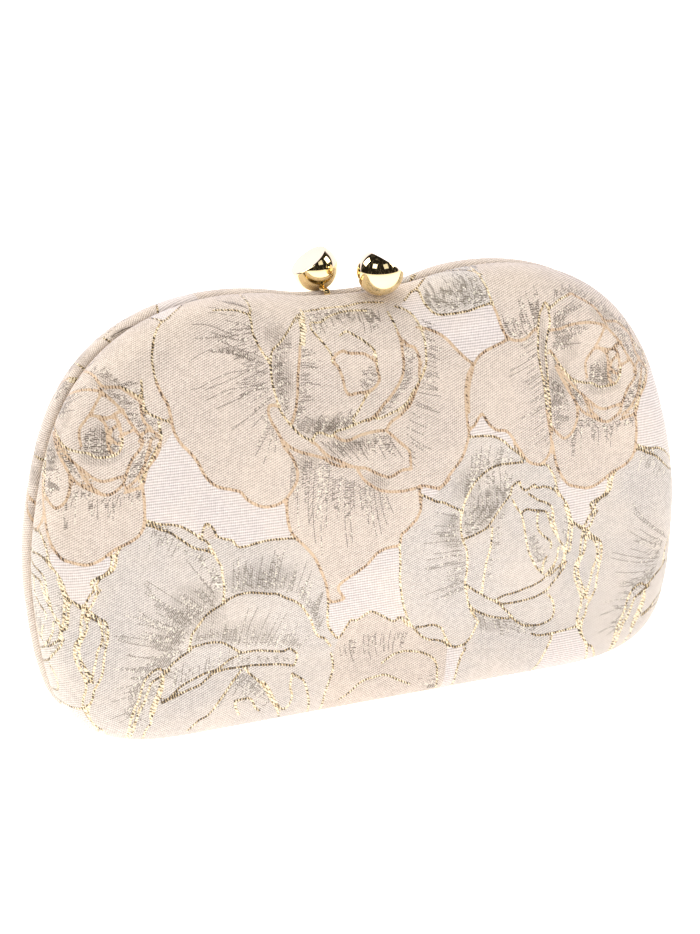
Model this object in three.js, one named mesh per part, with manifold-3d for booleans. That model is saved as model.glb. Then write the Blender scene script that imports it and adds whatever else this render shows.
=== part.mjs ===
// Hard-shell evening bag: two padded, fabric-covered half shells that meet at a
// middle seam, hinged along the bottom and held shut by two crossed ball knobs.
// Millimetres. X runs along the bag, Y front (-) to back (+), Z up from the flat bottom.
import * as THREE from 'three';
import Module from 'manifold-3d';
import { mergeVertices } from 'three/addons/utils/BufferGeometryUtils.js';

const wasm = await Module();
wasm.setup();

// ---------- driving dimensions ----------
// right half of the seam outline, bottom centre to top centre (x, z)
const OUTLINE = [
  [0.00, 0.00], [17.64, 0.00], [35.24, 0.00], [52.68, 0.00], [68.19, 0.28], [79.17, 1.90],
  [87.36, 5.12], [93.21, 9.66], [97.28, 15.55], [100.00, 24.18], [101.84, 38.14], [102.46, 51.92],
  [101.27, 64.86], [98.33, 79.18], [94.40, 91.80], [89.38, 101.86], [82.87, 110.20], [75.01, 116.74],
  [65.48, 121.70], [54.57, 124.95], [42.66, 126.31], [29.88, 125.76], [14.60, 123.88], [7.20, 123.35],
  [0.00, 123.15],
];
const SIDE_DEPTH = 17.0;      // seam plane to the front edge of a half, at the fold
const EDGE_INSET = 16.2;      // how far the rounded edge reaches in over the face
const DOME = 6.6;             // rise of the face at its middle
const FACE_CENTRE_Z = 62.0;
const RING = 0.56;            // place of the extra ring of points on the face
const BASE_FLAT = 9.0;        // flat of the bottom, seam to where it turns up
const RIM_Y = 1.5;            // cover edge to seam plane
const RIM_ROUND_Y = 3.0;      // the cover rolls in to the seam over this depth
const RIM_ROUND_IN = 2.2;     // and this far in

const COVER_T = 0.6;          // brocade with its backing
const PAD_OUT = 0.8, PAD_IN = 2.2;        // foam, offsets from the outer surface
const SHELL_OUT = 2.4, SHELL_IN = 3.8;    // moulded shell
const FRAME_OUT = 4.0, FRAME_IN = 5.2;    // metal frame strip
const FLANGE_OUT = 1.6;       // outer edge of the frame flange, seen in the seam
const FLANGE_T = 1.15;
const SEAM_GAP = 0.15;        // half of the gap between the two frames
const LINING_OUT = 4.0, LINING_IN = 4.6;

const HINGE_Z = 1.55;         // hinge axis above the bottom
const HINGE_X = 55.0;         // middle of each hinge
const KNUCKLE_R = 1.2, BORE_R = 0.8, PIN_R = 0.55;
const HINGE_HALF = 5.3;       // half length of a hinge
const MID_KNUCKLE = 2.0;      // half length of the middle knuckle

const KNOB_R = 6.8;
const KNOB_FLAT = 3.35;       // ball centre to its slanted flat
const KNOB_TILT = 36;         // degrees, flat turned out from level
const KNOB_Z = 128.3;
const KNOB_Y = 7.8;           // each ball leans this far over the opposite half
const KNOB_X = 6.85;          // half of the spacing
const KNOB_MID_X = -1.0;
const ARM_W = 2.2, ARM_T = 0.8;

const GUSSET_T = 0.5;

// ---------- helpers ----------
const loop = (() => {
  const right = OUTLINE.map(([x, z]) => [x, z]);
  const left = OUTLINE.slice(1, -1).reverse().map(([x, z]) => [-x, z]);
  return [...right, ...left];
})();
const N = loop.length;
const inward = loop.map((_, i) => {
  const a = loop[(i + N - 1) % N], b = loop[(i + 1) % N];
  const l = Math.hypot(b[0] - a[0], b[1] - a[1]);
  return [-(b[1] - a[1]) / l, (b[0] - a[0]) / l];
});
const smooth = (t) => { const k = Math.min(1, Math.max(0, t)); return k * k * (3 - 2 * k); };

// shape of the section across the edge at outline point i
function sectionAt(i) {
  const [x, z] = loop[i];
  const wb = smooth(1 - z / 22);
  const wt = z > 100 ? smooth((35 - Math.abs(x)) / 20) : 0;
  return { flat: BASE_FLAT * wb, p: 2.6 - 0.3 * wb - 1.0 * wt };
}
// inset of the edge curve at depth y, and its slope
function edge(sec, y) {
  if (y <= sec.flat) return [0, 0];
  const w = SIDE_DEPTH - sec.flat, u = Math.min(1, (y - sec.flat) / w);
  const v = Math.max(1e-9, 1 - u ** sec.p);
  return [EDGE_INSET * (1 - v ** (1 / sec.p)), EDGE_INSET * v ** (1 / sec.p - 1) * u ** (sec.p - 1) / w];
}
function rim(y) {
  const q = Math.min(1, Math.max(0, (RIM_Y + RIM_ROUND_Y - y) / RIM_ROUND_Y));
  const r = Math.sqrt(Math.max(1e-12, 1 - q * q));
  return [RIM_ROUND_IN * (1 - r), -RIM_ROUND_IN * q / RIM_ROUND_Y / r];
}
// depths of the section rows: three near the rim, one between, three round the fold
function rows(i) {
  const s = sectionAt(i), w = SIDE_DEPTH - s.flat;
  const turn = [28, 57].map((a) => s.flat + w * Math.sin(a * Math.PI / 180) ** (2 / s.p));
  const r0 = RIM_Y + RIM_ROUND_Y;
  return [RIM_Y, RIM_Y + 0.88, r0, Math.max(s.flat, (r0 + turn[0]) / 2), ...turn, SIDE_DEPTH];
}
// section point on the surface lying `off` under the outside
function at(i, y, off, rolled = false) {
  const s = sectionAt(i);
  let [d, m] = y >= SIDE_DEPTH ? [EDGE_INSET, 1e6] : edge(s, y);
  if (rolled) { const [rd, rm] = rim(y); d += rd; m += rm; }
  const l = Math.hypot(1, m);
  return [d + off / l, y - off * m / l];
}
const place = (side, i, [d, y]) => [loop[i][0] + inward[i][0] * d, side * y, loop[i][1] + inward[i][1] * d];

function geometry(verts, tris) {
  let vol = 0;
  for (const [a, b, c] of tris) {
    const [p, q, r] = [verts[a], verts[b], verts[c]];
    vol += p[0] * (q[1] * r[2] - q[2] * r[1]) + p[1] * (q[2] * r[0] - q[0] * r[2]) + p[2] * (q[0] * r[1] - q[1] * r[0]);
  }
  const g = new THREE.BufferGeometry();
  g.setAttribute('position', new THREE.Float32BufferAttribute(verts.flat(), 3));
  g.setIndex(tris.flatMap(([a, b, c]) => (vol > 0 ? [a, b, c] : [a, c, b])));
  g.computeVertexNormals();
  return g;
}

// dished sheet between two surfaces: outer and inner section rows per outline point
function dish(side, outer, inner, offOut, offIn) {
  const verts = [], tris = [];
  const m = outer(0).length, n = inner(0).length;
  const add = (v) => verts.push(v) - 1;
  const face = (i, k, off) => {
    const p = place(side, i, [EDGE_INSET, SIDE_DEPTH]);
    const y = SIDE_DEPTH + DOME * (1 - k * k) ** 1.5 - off;
    return [p[0] * k, side * y, FACE_CENTRE_Z + (p[2] - FACE_CENTRE_Z) * k];
  };
  const o = [], q = [];
  for (let i = 0; i < N; i++) {
    o.push([...outer(i).map((s) => add(place(side, i, s))), add(face(i, RING, offOut))]);
    q.push([...inner(i).map((s) => add(place(side, i, s))), add(face(i, RING, offIn))]);
  }
  const oc = add([0, side * (SIDE_DEPTH + DOME - offOut), FACE_CENTRE_Z]);
  const qc = add([0, side * (SIDE_DEPTH + DOME - offIn), FACE_CENTRE_Z]);
  for (let i = 0; i < N; i++) {
    const j = (i + 1) % N;
    for (let k = 0; k < m; k++) tris.push([o[i][k], o[j][k], o[j][k + 1]], [o[i][k], o[j][k + 1], o[i][k + 1]]);
    for (let k = 0; k < n; k++) tris.push([q[i][k], q[j][k + 1], q[j][k]], [q[i][k], q[i][k + 1], q[j][k + 1]]);
    tris.push([o[i][m], o[j][m], oc], [q[i][n], qc, q[j][n]]);
    tris.push([o[i][0], q[i][0], q[j][0]], [o[i][0], q[j][0], o[j][0]]);
  }
  return geometry(verts, tris);
}

// closed ring with the same number of section points at every outline point
function ring(side, section) {
  const verts = [], tris = [], m = section(0).length;
  for (let i = 0; i < N; i++) for (const s of section(i)) verts.push(place(side, i, s));
  for (let i = 0; i < N; i++) {
    const j = (i + 1) % N;
    for (let k = 0; k < m; k++) {
      const l = (k + 1) % m, a = i * m + k, b = i * m + l, c = j * m + l, d = j * m + k;
      // quads split the same way as in the dished sheets, so nested faces stay parallel
      if (Math.abs(verts[b][1]) >= Math.abs(verts[a][1])) tris.push([a, b, c], [a, c, d]);
      else tris.push([a, b, d], [b, c, d]);
    }
  }
  return geometry(verts, tris);
}

function toSolid(g) {
  const c = g.clone();
  for (const k of Object.keys(c.attributes)) if (k !== 'position') c.deleteAttribute(k);
  const w = mergeVertices(c, 1e-5);
  return new wasm.Manifold(new wasm.Mesh({
    numProp: 3,
    vertProperties: new Float32Array(w.attributes.position.array),
    triVerts: new Uint32Array(w.index.array),
  }));
}
function fromSolid(s) {
  const m = s.getMesh();
  const g = new THREE.BufferGeometry();
  const p = new Float32Array(m.numVert * 3);
  for (let i = 0; i < m.numVert; i++) for (let k = 0; k < 3; k++) p[3 * i + k] = m.vertProperties[i * m.numProp + k];
  g.setAttribute('position', new THREE.BufferAttribute(p, 3));
  g.setIndex(Array.from(m.triVerts));
  g.computeVertexNormals();
  return g;
}
function boxSolid(x0, x1, y0, y1, z0, z1) {
  const g = new THREE.BoxGeometry(x1 - x0, y1 - y0, z1 - z0);
  g.translate((x0 + x1) / 2, (y0 + y1) / 2, (z0 + z1) / 2);
  return toSolid(g);
}
function rodX(x0, x1, y, z, r, n = 12) {
  const g = new THREE.CylinderGeometry(r, r, x1 - x0, n);
  g.rotateZ(Math.PI / 2);
  g.translate((x0 + x1) / 2, y, z);
  return toSolid(g);
}
function rodZ(x, y, z0, z1, r, n = 10) {
  const g = new THREE.CylinderGeometry(r, r, z1 - z0, n);
  g.rotateX(Math.PI / 2);
  g.translate(x, y, (z0 + z1) / 2);
  return toSolid(g);
}

// ---------- materials ----------
const mat = (color, roughness, metalness) => new THREE.MeshStandardMaterial({ color, roughness, metalness });
const looks = {
  brocade: () => mat(0xe3d3c2, 0.62, 0.05),
  foam: () => mat(0xf1eee6, 0.95, 0),
  shell: () => mat(0xe9e6df, 0.6, 0),
  gold: () => mat(0xd9ae5b, 0.18, 1),
  lining: () => mat(0xe6d6bd, 0.45, 0),
};
const bag = new THREE.Group();
bag.name = 'evening_bag';
function add(name, geom, look) {
  const mesh = new THREE.Mesh(geom, look());
  mesh.name = name;
  bag.add(mesh);
  return mesh;
}

// ---------- latch and rivet places ----------
// the left knob stands on the front half and leans back, the right one the other way
const latches = [
  { name: 'left', half: -1, x: KNOB_MID_X - KNOB_X },
  { name: 'right', half: 1, x: KNOB_MID_X + KNOB_X },
];
const TAB_Z = 115.2;          // underside of the arm's foot
const BAR_Z = 122.95;         // underside of the crossing bar
const RIVET_X = 2.4, RIVET_Y = 3.2;

// ---------- two halves ----------
for (const [half, side] of [['front', -1], ['rear', 1]]) {
  add(`${half}_cover`, dish(side,
    (i) => rows(i).map((y) => at(i, y, 0, true)),
    (i) => rows(i).map((y) => at(i, y, COVER_T, true)), 0, COVER_T), looks.brocade);

  add(`${half}_padding`, dish(side,
    (i) => rows(i).slice(2).map((y) => at(i, y, PAD_OUT)),
    (i) => rows(i).slice(2).map((y) => at(i, y, PAD_IN)), PAD_OUT, PAD_IN), looks.foam);

  const shellRow = (i, off) => [[off, RIM_Y + 0.1], ...rows(i).slice(2).map((y) => at(i, y, off))];
  add(`${half}_shell`, dish(side,
    (i) => shellRow(i, SHELL_OUT), (i) => shellRow(i, SHELL_IN), SHELL_OUT, SHELL_IN), looks.shell);

  // lining starts just past the frame strip
  const liningRows = (i, off) => {
    const r = rows(i), a = at(i, r[4], off), b = at(i, r[5], off), k = 0.24;
    return [[a[0] + (b[0] - a[0]) * k, a[1] + (b[1] - a[1]) * k], ...r.slice(5).map((y) => at(i, y, off))];
  };
  add(`${half}_lining`, dish(side,
    (i) => liningRows(i, LINING_OUT), (i) => liningRows(i, LINING_IN), LINING_OUT, LINING_IN), looks.lining);

  // frame: strip inside the shell with a flange turned out to the seam
  let frame = toSolid(ring(side, (i) => {
    const r = rows(i);
    return [
      [FLANGE_OUT, SEAM_GAP], [FRAME_IN, SEAM_GAP],
      at(i, r[2], FRAME_IN), at(i, r[3], FRAME_IN), at(i, r[4], FRAME_IN),
      at(i, r[4], FRAME_OUT), at(i, r[3], FRAME_OUT), at(i, r[2], FRAME_OUT),
      [FRAME_OUT, SEAM_GAP + FLANGE_T], [FLANGE_OUT, SEAM_GAP + FLANGE_T],
    ];
  }));
  for (const s of [-1, 1]) {
    frame = frame.subtract(boxSolid(s * HINGE_X - HINGE_HALF - 0.6, s * HINGE_X + HINGE_HALF + 0.6, -1.65, 1.65, -1, 5.6));
  }
  const own = latches.find((l) => l.half === side);
  frame = frame.subtract(boxSolid(own.x - ARM_W / 2 - 0.9, own.x + ARM_W / 2 + 0.9, -1.65, 1.65, 116, 126));
  for (const s of [-1, 1]) frame = frame.subtract(rodZ(own.x + s * RIVET_X, side * RIVET_Y, 112, 124, 0.85));
  add(`${half}_frame`, fromSolid(frame), looks.gold);
}

// ---------- hinges ----------
for (const [where, s] of [['left', -1], ['right', 1]]) {
  const xc = s * HINGE_X;
  for (const [half, side] of [['front', -1], ['rear', 1]]) {
    const y0 = Math.min(side * 0.25, side * 1.25), y1 = Math.max(side * 0.25, side * 1.25);
    const p0 = Math.min(side * 0.25, side * 8), p1 = Math.max(side * 0.25, side * 8);
    let leaf = boxSolid(xc - HINGE_HALF, xc + HINGE_HALF, y0, y1, 3.1, 6.3)
      .add(boxSolid(xc - HINGE_HALF, xc + HINGE_HALF, p0, p1, 5.5, 6.3));
    const spans = half === 'front' ? [[-MID_KNUCKLE, MID_KNUCKLE]]
      : [[-HINGE_HALF, -MID_KNUCKLE - 0.3], [MID_KNUCKLE + 0.3, HINGE_HALF]];
    for (const [a, b] of spans) {
      leaf = leaf.add(boxSolid(xc + a, xc + b, y0, y1, HINGE_Z, 3.2)).add(rodX(xc + a, xc + b, 0, HINGE_Z, KNUCKLE_R));
    }
    leaf = leaf.subtract(rodX(xc - 8, xc + 8, 0, HINGE_Z, BORE_R));
    add(`${where}_hinge_${half}_leaf`, fromSolid(leaf), looks.gold);
  }
  add(`${where}_hinge_pin`, fromSolid(rodX(xc - HINGE_HALF, xc + HINGE_HALF, 0, HINGE_Z, PIN_R, 10)), looks.gold);
}

// ---------- kiss lock ----------
for (const { name, half, x } of latches) {
  const dir = -half;            // the bar crosses to the other half
  const span = (a, b) => [Math.min(dir * a, dir * b), Math.max(dir * a, dir * b)];
  const w = ARM_W / 2;
  let arm = boxSolid(x - 3.6, x + 3.6, ...span(-4.7, -0.3), TAB_Z, TAB_Z + 0.9)
    .add(boxSolid(x - w, x + w, ...span(-1.3, -0.3), TAB_Z, BAR_Z + ARM_T))
    .add(boxSolid(x - w, x + w, ...span(-1.3, 3.0), BAR_Z, BAR_Z + ARM_T))
    .add(boxSolid(x - 0.9, x + 0.9, ...span(2.9, 6.5), BAR_Z, BAR_Z + ARM_T));
  for (const s of [-1, 1]) arm = arm.subtract(rodZ(x + s * RIVET_X, half * RIVET_Y, 110, 120, 0.85));
  add(`${name}_latch_arm`, fromSolid(arm), looks.gold);

  const ballGeom = new THREE.SphereGeometry(KNOB_R, 18, 12);
  ballGeom.rotateX(Math.PI / 2);
  ballGeom.translate(x, dir * KNOB_Y, KNOB_Z);
  const cutGeom = new THREE.BoxGeometry(20, 20, 10);
  cutGeom.translate(0, 0, KNOB_FLAT + 5);
  cutGeom.rotateY((x < 0 ? -1 : 1) * KNOB_TILT * Math.PI / 180);
  cutGeom.translate(x, dir * KNOB_Y, KNOB_Z);
  const ball = toSolid(ballGeom).subtract(toSolid(cutGeom))
    .subtract(boxSolid(x - 1.2, x + 1.2, ...span(-2, 6.8), BAR_Z - 0.3, BAR_Z + ARM_T + 0.3));
  add(`${name}_knob`, fromSolid(ball), looks.gold);

  // rivets: round head under the foot, shank up into the frame strip
  for (const [tag, s] of [['a', -1], ['b', 1]]) {
    const prof = [[0, 114.1], [0.7, 114.15], [1.1, 114.5], [1.1, 114.9], [0.55, 114.9], [0.55, 118.15], [0, 118.15]];
    const g = new THREE.LatheGeometry(prof.map(([r, z]) => new THREE.Vector2(r, z)), 10);
    g.rotateX(Math.PI / 2);
    g.translate(x + s * RIVET_X, half * RIVET_Y, 0);
    add(`${name}_latch_rivet_${tag}`, fromSolid(toSolid(g)), looks.gold);
  }
}

// ---------- side gussets: a pleat of cloth folded inward behind each side ----------
for (const [where, s] of [['left', -1], ['right', 1]]) {
  const ids = [7, 8, 9, 10, 11, 12];
  const verts = [], tris = [];
  const sec = (w) => [[0, 0.9], [w, 0.9], [w, -0.9], [0, -0.9], [0, -0.4], [w - GUSSET_T, -0.4], [w - GUSSET_T, 0.4], [0, 0.4]];
  for (const i of ids) {
    const [ox, oz] = loop[i], [nx, nz] = inward[i];
    const ax = ox + nx * (FRAME_IN + 0.4), az = oz + nz * (FRAME_IN + 0.4);
    for (const [d, y] of sec(2 + 0.5 * oz)) verts.push([s * (ax - d), y, az]);
  }
  for (let k = 0; k < ids.length - 1; k++) for (let a = 0; a < 8; a++) {
    const b = (a + 1) % 8, p = k * 8, q = p + 8;
    tris.push([p + a, p + b, q + b], [p + a, q + b, q + a]);
  }
  const caps = [[0, 1, 6], [0, 6, 7], [1, 2, 5], [1, 5, 6], [2, 3, 4], [2, 4, 5]];
  const top = (ids.length - 1) * 8;
  for (const [a, b, c] of caps) tris.push([a, c, b], [top + a, top + b, top + c]);
  add(`${where}_gusset`, geometry(verts, tris), looks.lining);
}

export default bag;
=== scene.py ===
import math
import bpy
import numpy as np
from mathutils import Matrix, Vector


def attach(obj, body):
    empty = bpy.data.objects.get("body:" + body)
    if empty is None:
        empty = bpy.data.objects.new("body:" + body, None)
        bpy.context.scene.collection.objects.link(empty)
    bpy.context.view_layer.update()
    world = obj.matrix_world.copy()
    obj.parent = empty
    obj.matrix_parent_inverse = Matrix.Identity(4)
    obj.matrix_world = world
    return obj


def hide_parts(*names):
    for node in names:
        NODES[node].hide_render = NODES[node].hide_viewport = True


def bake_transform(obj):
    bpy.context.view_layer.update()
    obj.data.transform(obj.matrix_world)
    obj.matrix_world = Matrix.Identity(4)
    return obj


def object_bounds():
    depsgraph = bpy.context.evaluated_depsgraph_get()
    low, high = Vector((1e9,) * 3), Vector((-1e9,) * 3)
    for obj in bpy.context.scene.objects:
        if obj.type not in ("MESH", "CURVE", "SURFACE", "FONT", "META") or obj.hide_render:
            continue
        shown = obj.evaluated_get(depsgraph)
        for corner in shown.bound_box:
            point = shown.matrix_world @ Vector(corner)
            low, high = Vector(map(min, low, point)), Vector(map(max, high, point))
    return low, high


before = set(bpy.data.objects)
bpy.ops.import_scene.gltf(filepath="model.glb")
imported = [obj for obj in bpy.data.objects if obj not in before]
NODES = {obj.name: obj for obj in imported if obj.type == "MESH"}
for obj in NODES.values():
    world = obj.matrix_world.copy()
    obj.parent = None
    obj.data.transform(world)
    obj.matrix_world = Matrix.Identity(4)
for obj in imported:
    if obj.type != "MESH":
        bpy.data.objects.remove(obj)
CAD_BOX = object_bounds()
MM = 0.001
TAU = 2 * math.pi
scene = bpy.context.scene
rng = np.random.default_rng(20)


# ------------------------------------------------------------------ camera
AZ, EL, ROLL = math.radians(23.523), math.radians(15.716), math.radians(-1.917)
DIST, CENTRE = 0.81533, Vector((0, 0, 0.065))
F_PX, CX, CY, IMG_W, IMG_H = 2768.68, 357.44, 480.93, 700, 934
back = Vector((-math.sin(AZ) * math.cos(EL), -math.cos(AZ) * math.cos(EL), math.sin(EL)))
right = Vector((math.cos(AZ), -math.sin(AZ), 0))
up = back.cross(right)
r2 = right * math.cos(ROLL) + up * math.sin(ROLL)
u2 = -right * math.sin(ROLL) + up * math.cos(ROLL)
cam_data = bpy.data.cameras.new("camera")
cam = bpy.data.objects.new("camera", cam_data)
scene.collection.objects.link(cam)
cam.matrix_world = Matrix((
    (r2.x, u2.x, back.x, CENTRE.x + back.x * DIST),
    (r2.y, u2.y, back.y, CENTRE.y + back.y * DIST),
    (r2.z, u2.z, back.z, CENTRE.z + back.z * DIST),
    (0, 0, 0, 1)))
cam_data.sensor_width = 36
cam_data.lens = F_PX / IMG_H * 36
cam_data.shift_x = (IMG_W / 2 - CX) / IMG_H
cam_data.shift_y = (CY - IMG_H / 2) / IMG_H
cam_data.clip_start, cam_data.clip_end = 0.02, 50
scene.camera = cam
scene.view_settings.view_transform = "Standard"
scene.view_settings.look = "None"
scene.view_settings.exposure = 0
scene.view_settings.gamma = 1

# ------------------------------------------------------------------ the bag's form (mm)
OUTLINE = [
    (0.00, 0.00), (17.64, 0.00), (35.24, 0.00), (52.68, 0.00), (68.19, 0.28), (79.17, 1.90),
    (87.36, 5.12), (93.21, 9.66), (97.28, 15.55), (100.00, 24.18), (101.84, 38.14), (102.46, 51.92),
    (101.27, 64.86), (98.33, 79.18), (94.40, 91.80), (89.38, 101.86), (82.87, 110.20), (75.01, 116.74),
    (65.48, 121.70), (54.57, 124.95), (42.66, 126.31), (29.88, 125.76), (14.60, 123.88), (7.20, 123.35),
    (0.00, 123.15)]
SIDE_DEPTH, EDGE_INSET, DOME, FACE_Z = 17.0, 16.2, 6.6, 62.0
BASE_FLAT, RIM_Y, RIM_ROUND_Y, RIM_ROUND_IN = 9.0, 1.5, 3.0, 2.2


def closed_spline(points, m):
    """m points, evenly spaced by length, on the smooth closed curve through points."""
    p = np.array(points, float)
    n = len(p)
    h = np.linalg.norm(np.roll(p, -1, 0) - p, axis=1)
    a = np.zeros((n, n))
    b = np.zeros((n, 2))
    for i in range(n):
        hp, hn = h[i - 1], h[i]
        a[i, i - 1] += hp
        a[i, i] += 2 * (hp + hn)
        a[i, (i + 1) % n] += hn
        b[i] = 6 * ((p[(i + 1) % n] - p[i]) / hn - (p[i] - p[i - 1]) / hp)
    s = np.linalg.solve(a, b)
    out = []
    for i in range(n):
        j = (i + 1) % n
        t = np.linspace(0, 1, 60, endpoint=False)[:, None] * h[i]
        w = h[i] - t
        out.append(s[i] * w ** 3 / (6 * h[i]) + s[j] * t ** 3 / (6 * h[i])
                   + (p[i] / h[i] - s[i] * h[i] / 6) * w + (p[j] / h[i] - s[j] * h[i] / 6) * t)
    q = np.vstack(out)
    q = np.vstack([q, q[:1]])
    l = np.concatenate([[0], np.cumsum(np.linalg.norm(np.diff(q, axis=0), axis=1))])
    at = np.linspace(0, l[-1], m, endpoint=False)
    return np.stack([np.interp(at, l, q[:, 0]), np.interp(at, l, q[:, 1])], 1)


def ring_points(m):
    """Seam outline and its inward normals at m places, from the bottom centre round the right side."""
    loop = [*OUTLINE, *[(-x, z) for x, z in OUTLINE[1:-1][::-1]]]
    p = closed_spline(loop, m)
    p[:, 1] = np.maximum(p[:, 1], 0)
    t = np.roll(p, -1, 0) - np.roll(p, 1, 0)
    t /= np.linalg.norm(t, axis=1)[:, None]
    return p, np.stack([-t[:, 1], t[:, 0]], 1)


def smooth(t):
    k = np.clip(t, 0, 1)
    return k * k * (3 - 2 * k)


def section_of(p):
    wb = smooth(1 - p[:, 1] / 22)
    wt = np.where(p[:, 1] > 100, smooth((35 - np.abs(p[:, 0])) / 20), 0)
    return BASE_FLAT * wb, 2.6 - 0.3 * wb - 1.0 * wt


def inset_at(y, flat, pw):
    u = np.clip((y - flat) / (SIDE_DEPTH - flat), 0, 1)
    return EDGE_INSET * (1 - np.maximum(1 - u ** pw, 0) ** (1 / pw))


def rim_in(y):
    q = np.clip((RIM_Y + RIM_ROUND_Y - y) / RIM_ROUND_Y, 0, 1)
    return RIM_ROUND_IN * (1 - np.sqrt(np.maximum(1 - q * q, 0)))


def sections(m, rows, off=0.0, rolled=True, y_end=RIM_Y):
    """Section rows from the fold out to the seam at m outline places: (inset, depth, length from the fold)."""
    p, inw = ring_points(m)
    flat, pw = section_of(p)
    a = np.linspace(np.pi / 2, 0.0, 260)[None, :]
    ys = flat[:, None] + (SIDE_DEPTH - flat[:, None]) * np.sin(a) ** (2 / pw[:, None])
    lin = flat[:, None] + (y_end - flat[:, None]) * np.linspace(0, 1, 60)[None, :]
    parts = [ys, lin]
    if rolled:
        b = np.linspace(0, np.pi / 2, 60)[None, :]
        parts.append(np.repeat(RIM_Y + RIM_ROUND_Y - RIM_ROUND_Y * np.sin(b), m, 0))
    ys = -np.sort(-np.maximum(np.concatenate(parts, 1), y_end), axis=1)
    d = inset_at(ys, flat[:, None], pw[:, None])
    if rolled:
        d = d + rim_in(ys)
    seg = np.hypot(np.diff(d, axis=1), np.diff(ys, axis=1))
    length = np.concatenate([np.zeros((m, 1)), np.cumsum(seg, 1)], 1)
    f = np.linspace(0, 1, rows)
    dd, yy, ll = (np.zeros((m, rows)) for _ in range(3))
    for i in range(m):
        at = f * length[i, -1]
        dd[i] = np.interp(at, length[i], d[i])
        yy[i] = np.interp(at, length[i], ys[i])
        ll[i] = at
    if off:
        td = np.gradient(dd, axis=1)
        ty = np.gradient(yy, axis=1)
        l = np.hypot(td, ty) + 1e-9
        nd, ny = -ty / l, td / l            # towards the inside of the bag
        dd, yy = dd + nd * off, yy + ny * off
    return p, inw, dd, yy, ll


def face_rings(n0, steps, halve_at=0.46):
    """(scale, number of points) of the rings from the fold to the middle of a face."""
    out, n, k = [], n0, 1.0
    for j in range(1, steps):
        k = 1 - j / steps
        while n > 24 and k < halve_at * n / n0 and n % 2 == 0 and n > 0.5 * n0 * k:
            n //= 2
            break
        out.append((k, n))
    return out


def half_shell(side, m, rows, steps, off=0.0, rolled=True, y_end=RIM_Y, extra=(), relief=None):
    """Dished skin of one half: verts in mm, faces, fabric coordinates, weight towards the rim.
    extra: further rows past the seam as (more inset, depth)."""
    p, inw, dd, yy, ll = sections(m, rows, off, rolled, y_end)
    verts, uv, edge_t, faces = [], [], [], []
    index = []
    fold = p + inw * EDGE_INSET
    for j in range(rows):
        q = p + inw * dd[:, j:j + 1]
        index.append(np.arange(m) + len(verts) * 0 + sum(len(v) for v in verts))
        verts.append(np.stack([q[:, 0], side * yy[:, j], q[:, 1]], 1))
        uv.append(p + inw * (EDGE_INSET - ll[:, j:j + 1]))
        edge_t.append(np.full(m, j / (rows - 1)))
    last = ll[:, -1:]
    for more, y in extra:
        d = dd[:, -1:] + more
        q = p + inw * d
        index.append(np.arange(m) + sum(len(v) for v in verts))
        verts.append(np.stack([q[:, 0], np.full(m, side * y), q[:, 1]], 1))
        uv.append(p + inw * (EDGE_INSET - last - more))
        edge_t.append(np.full(m, 1.0 + more))
    for a, b in zip(index[:-1], index[1:]):
        a2, b2 = np.roll(a, -1), np.roll(b, -1)
        faces.extend(zip(a.tolist(), b.tolist(), b2.tolist(), a2.tolist()))
    prev = index[0]
    for k, n in face_rings(m, steps):
        stepn = m // n
        f = fold[::stepn][:n]
        x, z = f[:, 0] * k, FACE_Z + (f[:, 1] - FACE_Z) * k
        y = SIDE_DEPTH + DOME * (1 - k * k) ** 1.5 - off
        base = sum(len(v) for v in verts)
        cur = np.arange(n) + base
        verts.append(np.stack([x, np.full(n, side * y), z], 1))
        uv.append(np.stack([x, z], 1))
        edge_t.append(np.zeros(n))
        if len(prev) == n:
            a2, b2 = np.roll(prev, -1), np.roll(cur, -1)
            faces.extend(zip(cur.tolist(), prev.tolist(), a2.tolist(), b2.tolist()))
        else:
            for i in range(n):
                a0, a1, a3 = prev[2 * i], prev[2 * i + 1], prev[(2 * i + 2) % len(prev)]
                b0, b1 = cur[i], cur[(i + 1) % n]
                faces.append((int(b0), int(a0), int(a1)))
                faces.append((int(b0), int(a1), int(b1)))
                faces.append((int(b1), int(a1), int(a3)))
        prev = cur
    base = sum(len(v) for v in verts)
    verts.append(np.array([[0, side * (SIDE_DEPTH + DOME - off), FACE_Z]]))
    uv.append(np.array([[0, FACE_Z]]))
    edge_t.append(np.zeros(1))
    for i in range(len(prev)):
        faces.append((base, int(prev[i]), int(prev[(i + 1) % len(prev)])))
    verts, uv, edge_t = np.vstack(verts), np.vstack(uv), np.concatenate(edge_t)
    if side > 0:
        faces = [tuple(reversed(f)) for f in faces]
    return verts, faces, uv, edge_t


def add_mesh(name, verts_mm, faces, smooth_shade=True):
    me = bpy.data.meshes.new(name)
    me.from_pydata((np.asarray(verts_mm) * MM).tolist(), [], [tuple(int(i) for i in f) for f in faces])
    me.update()
    if smooth_shade:
        me.polygons.foreach_set("use_smooth", [True] * len(me.polygons))
    ob = bpy.data.objects.new(name, me)
    scene.collection.objects.link(ob)
    return ob


def set_vec(ob, name, data):
    a = ob.data.attributes.new(name, "FLOAT_VECTOR", "POINT")
    full = np.zeros((len(ob.data.vertices), 3), np.float32)
    full[:, : data.shape[1]] = data
    a.data.foreach_set("vector", full.ravel())


def area_of(ob):
    return sum(p.area for p in ob.data.polygons)


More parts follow.
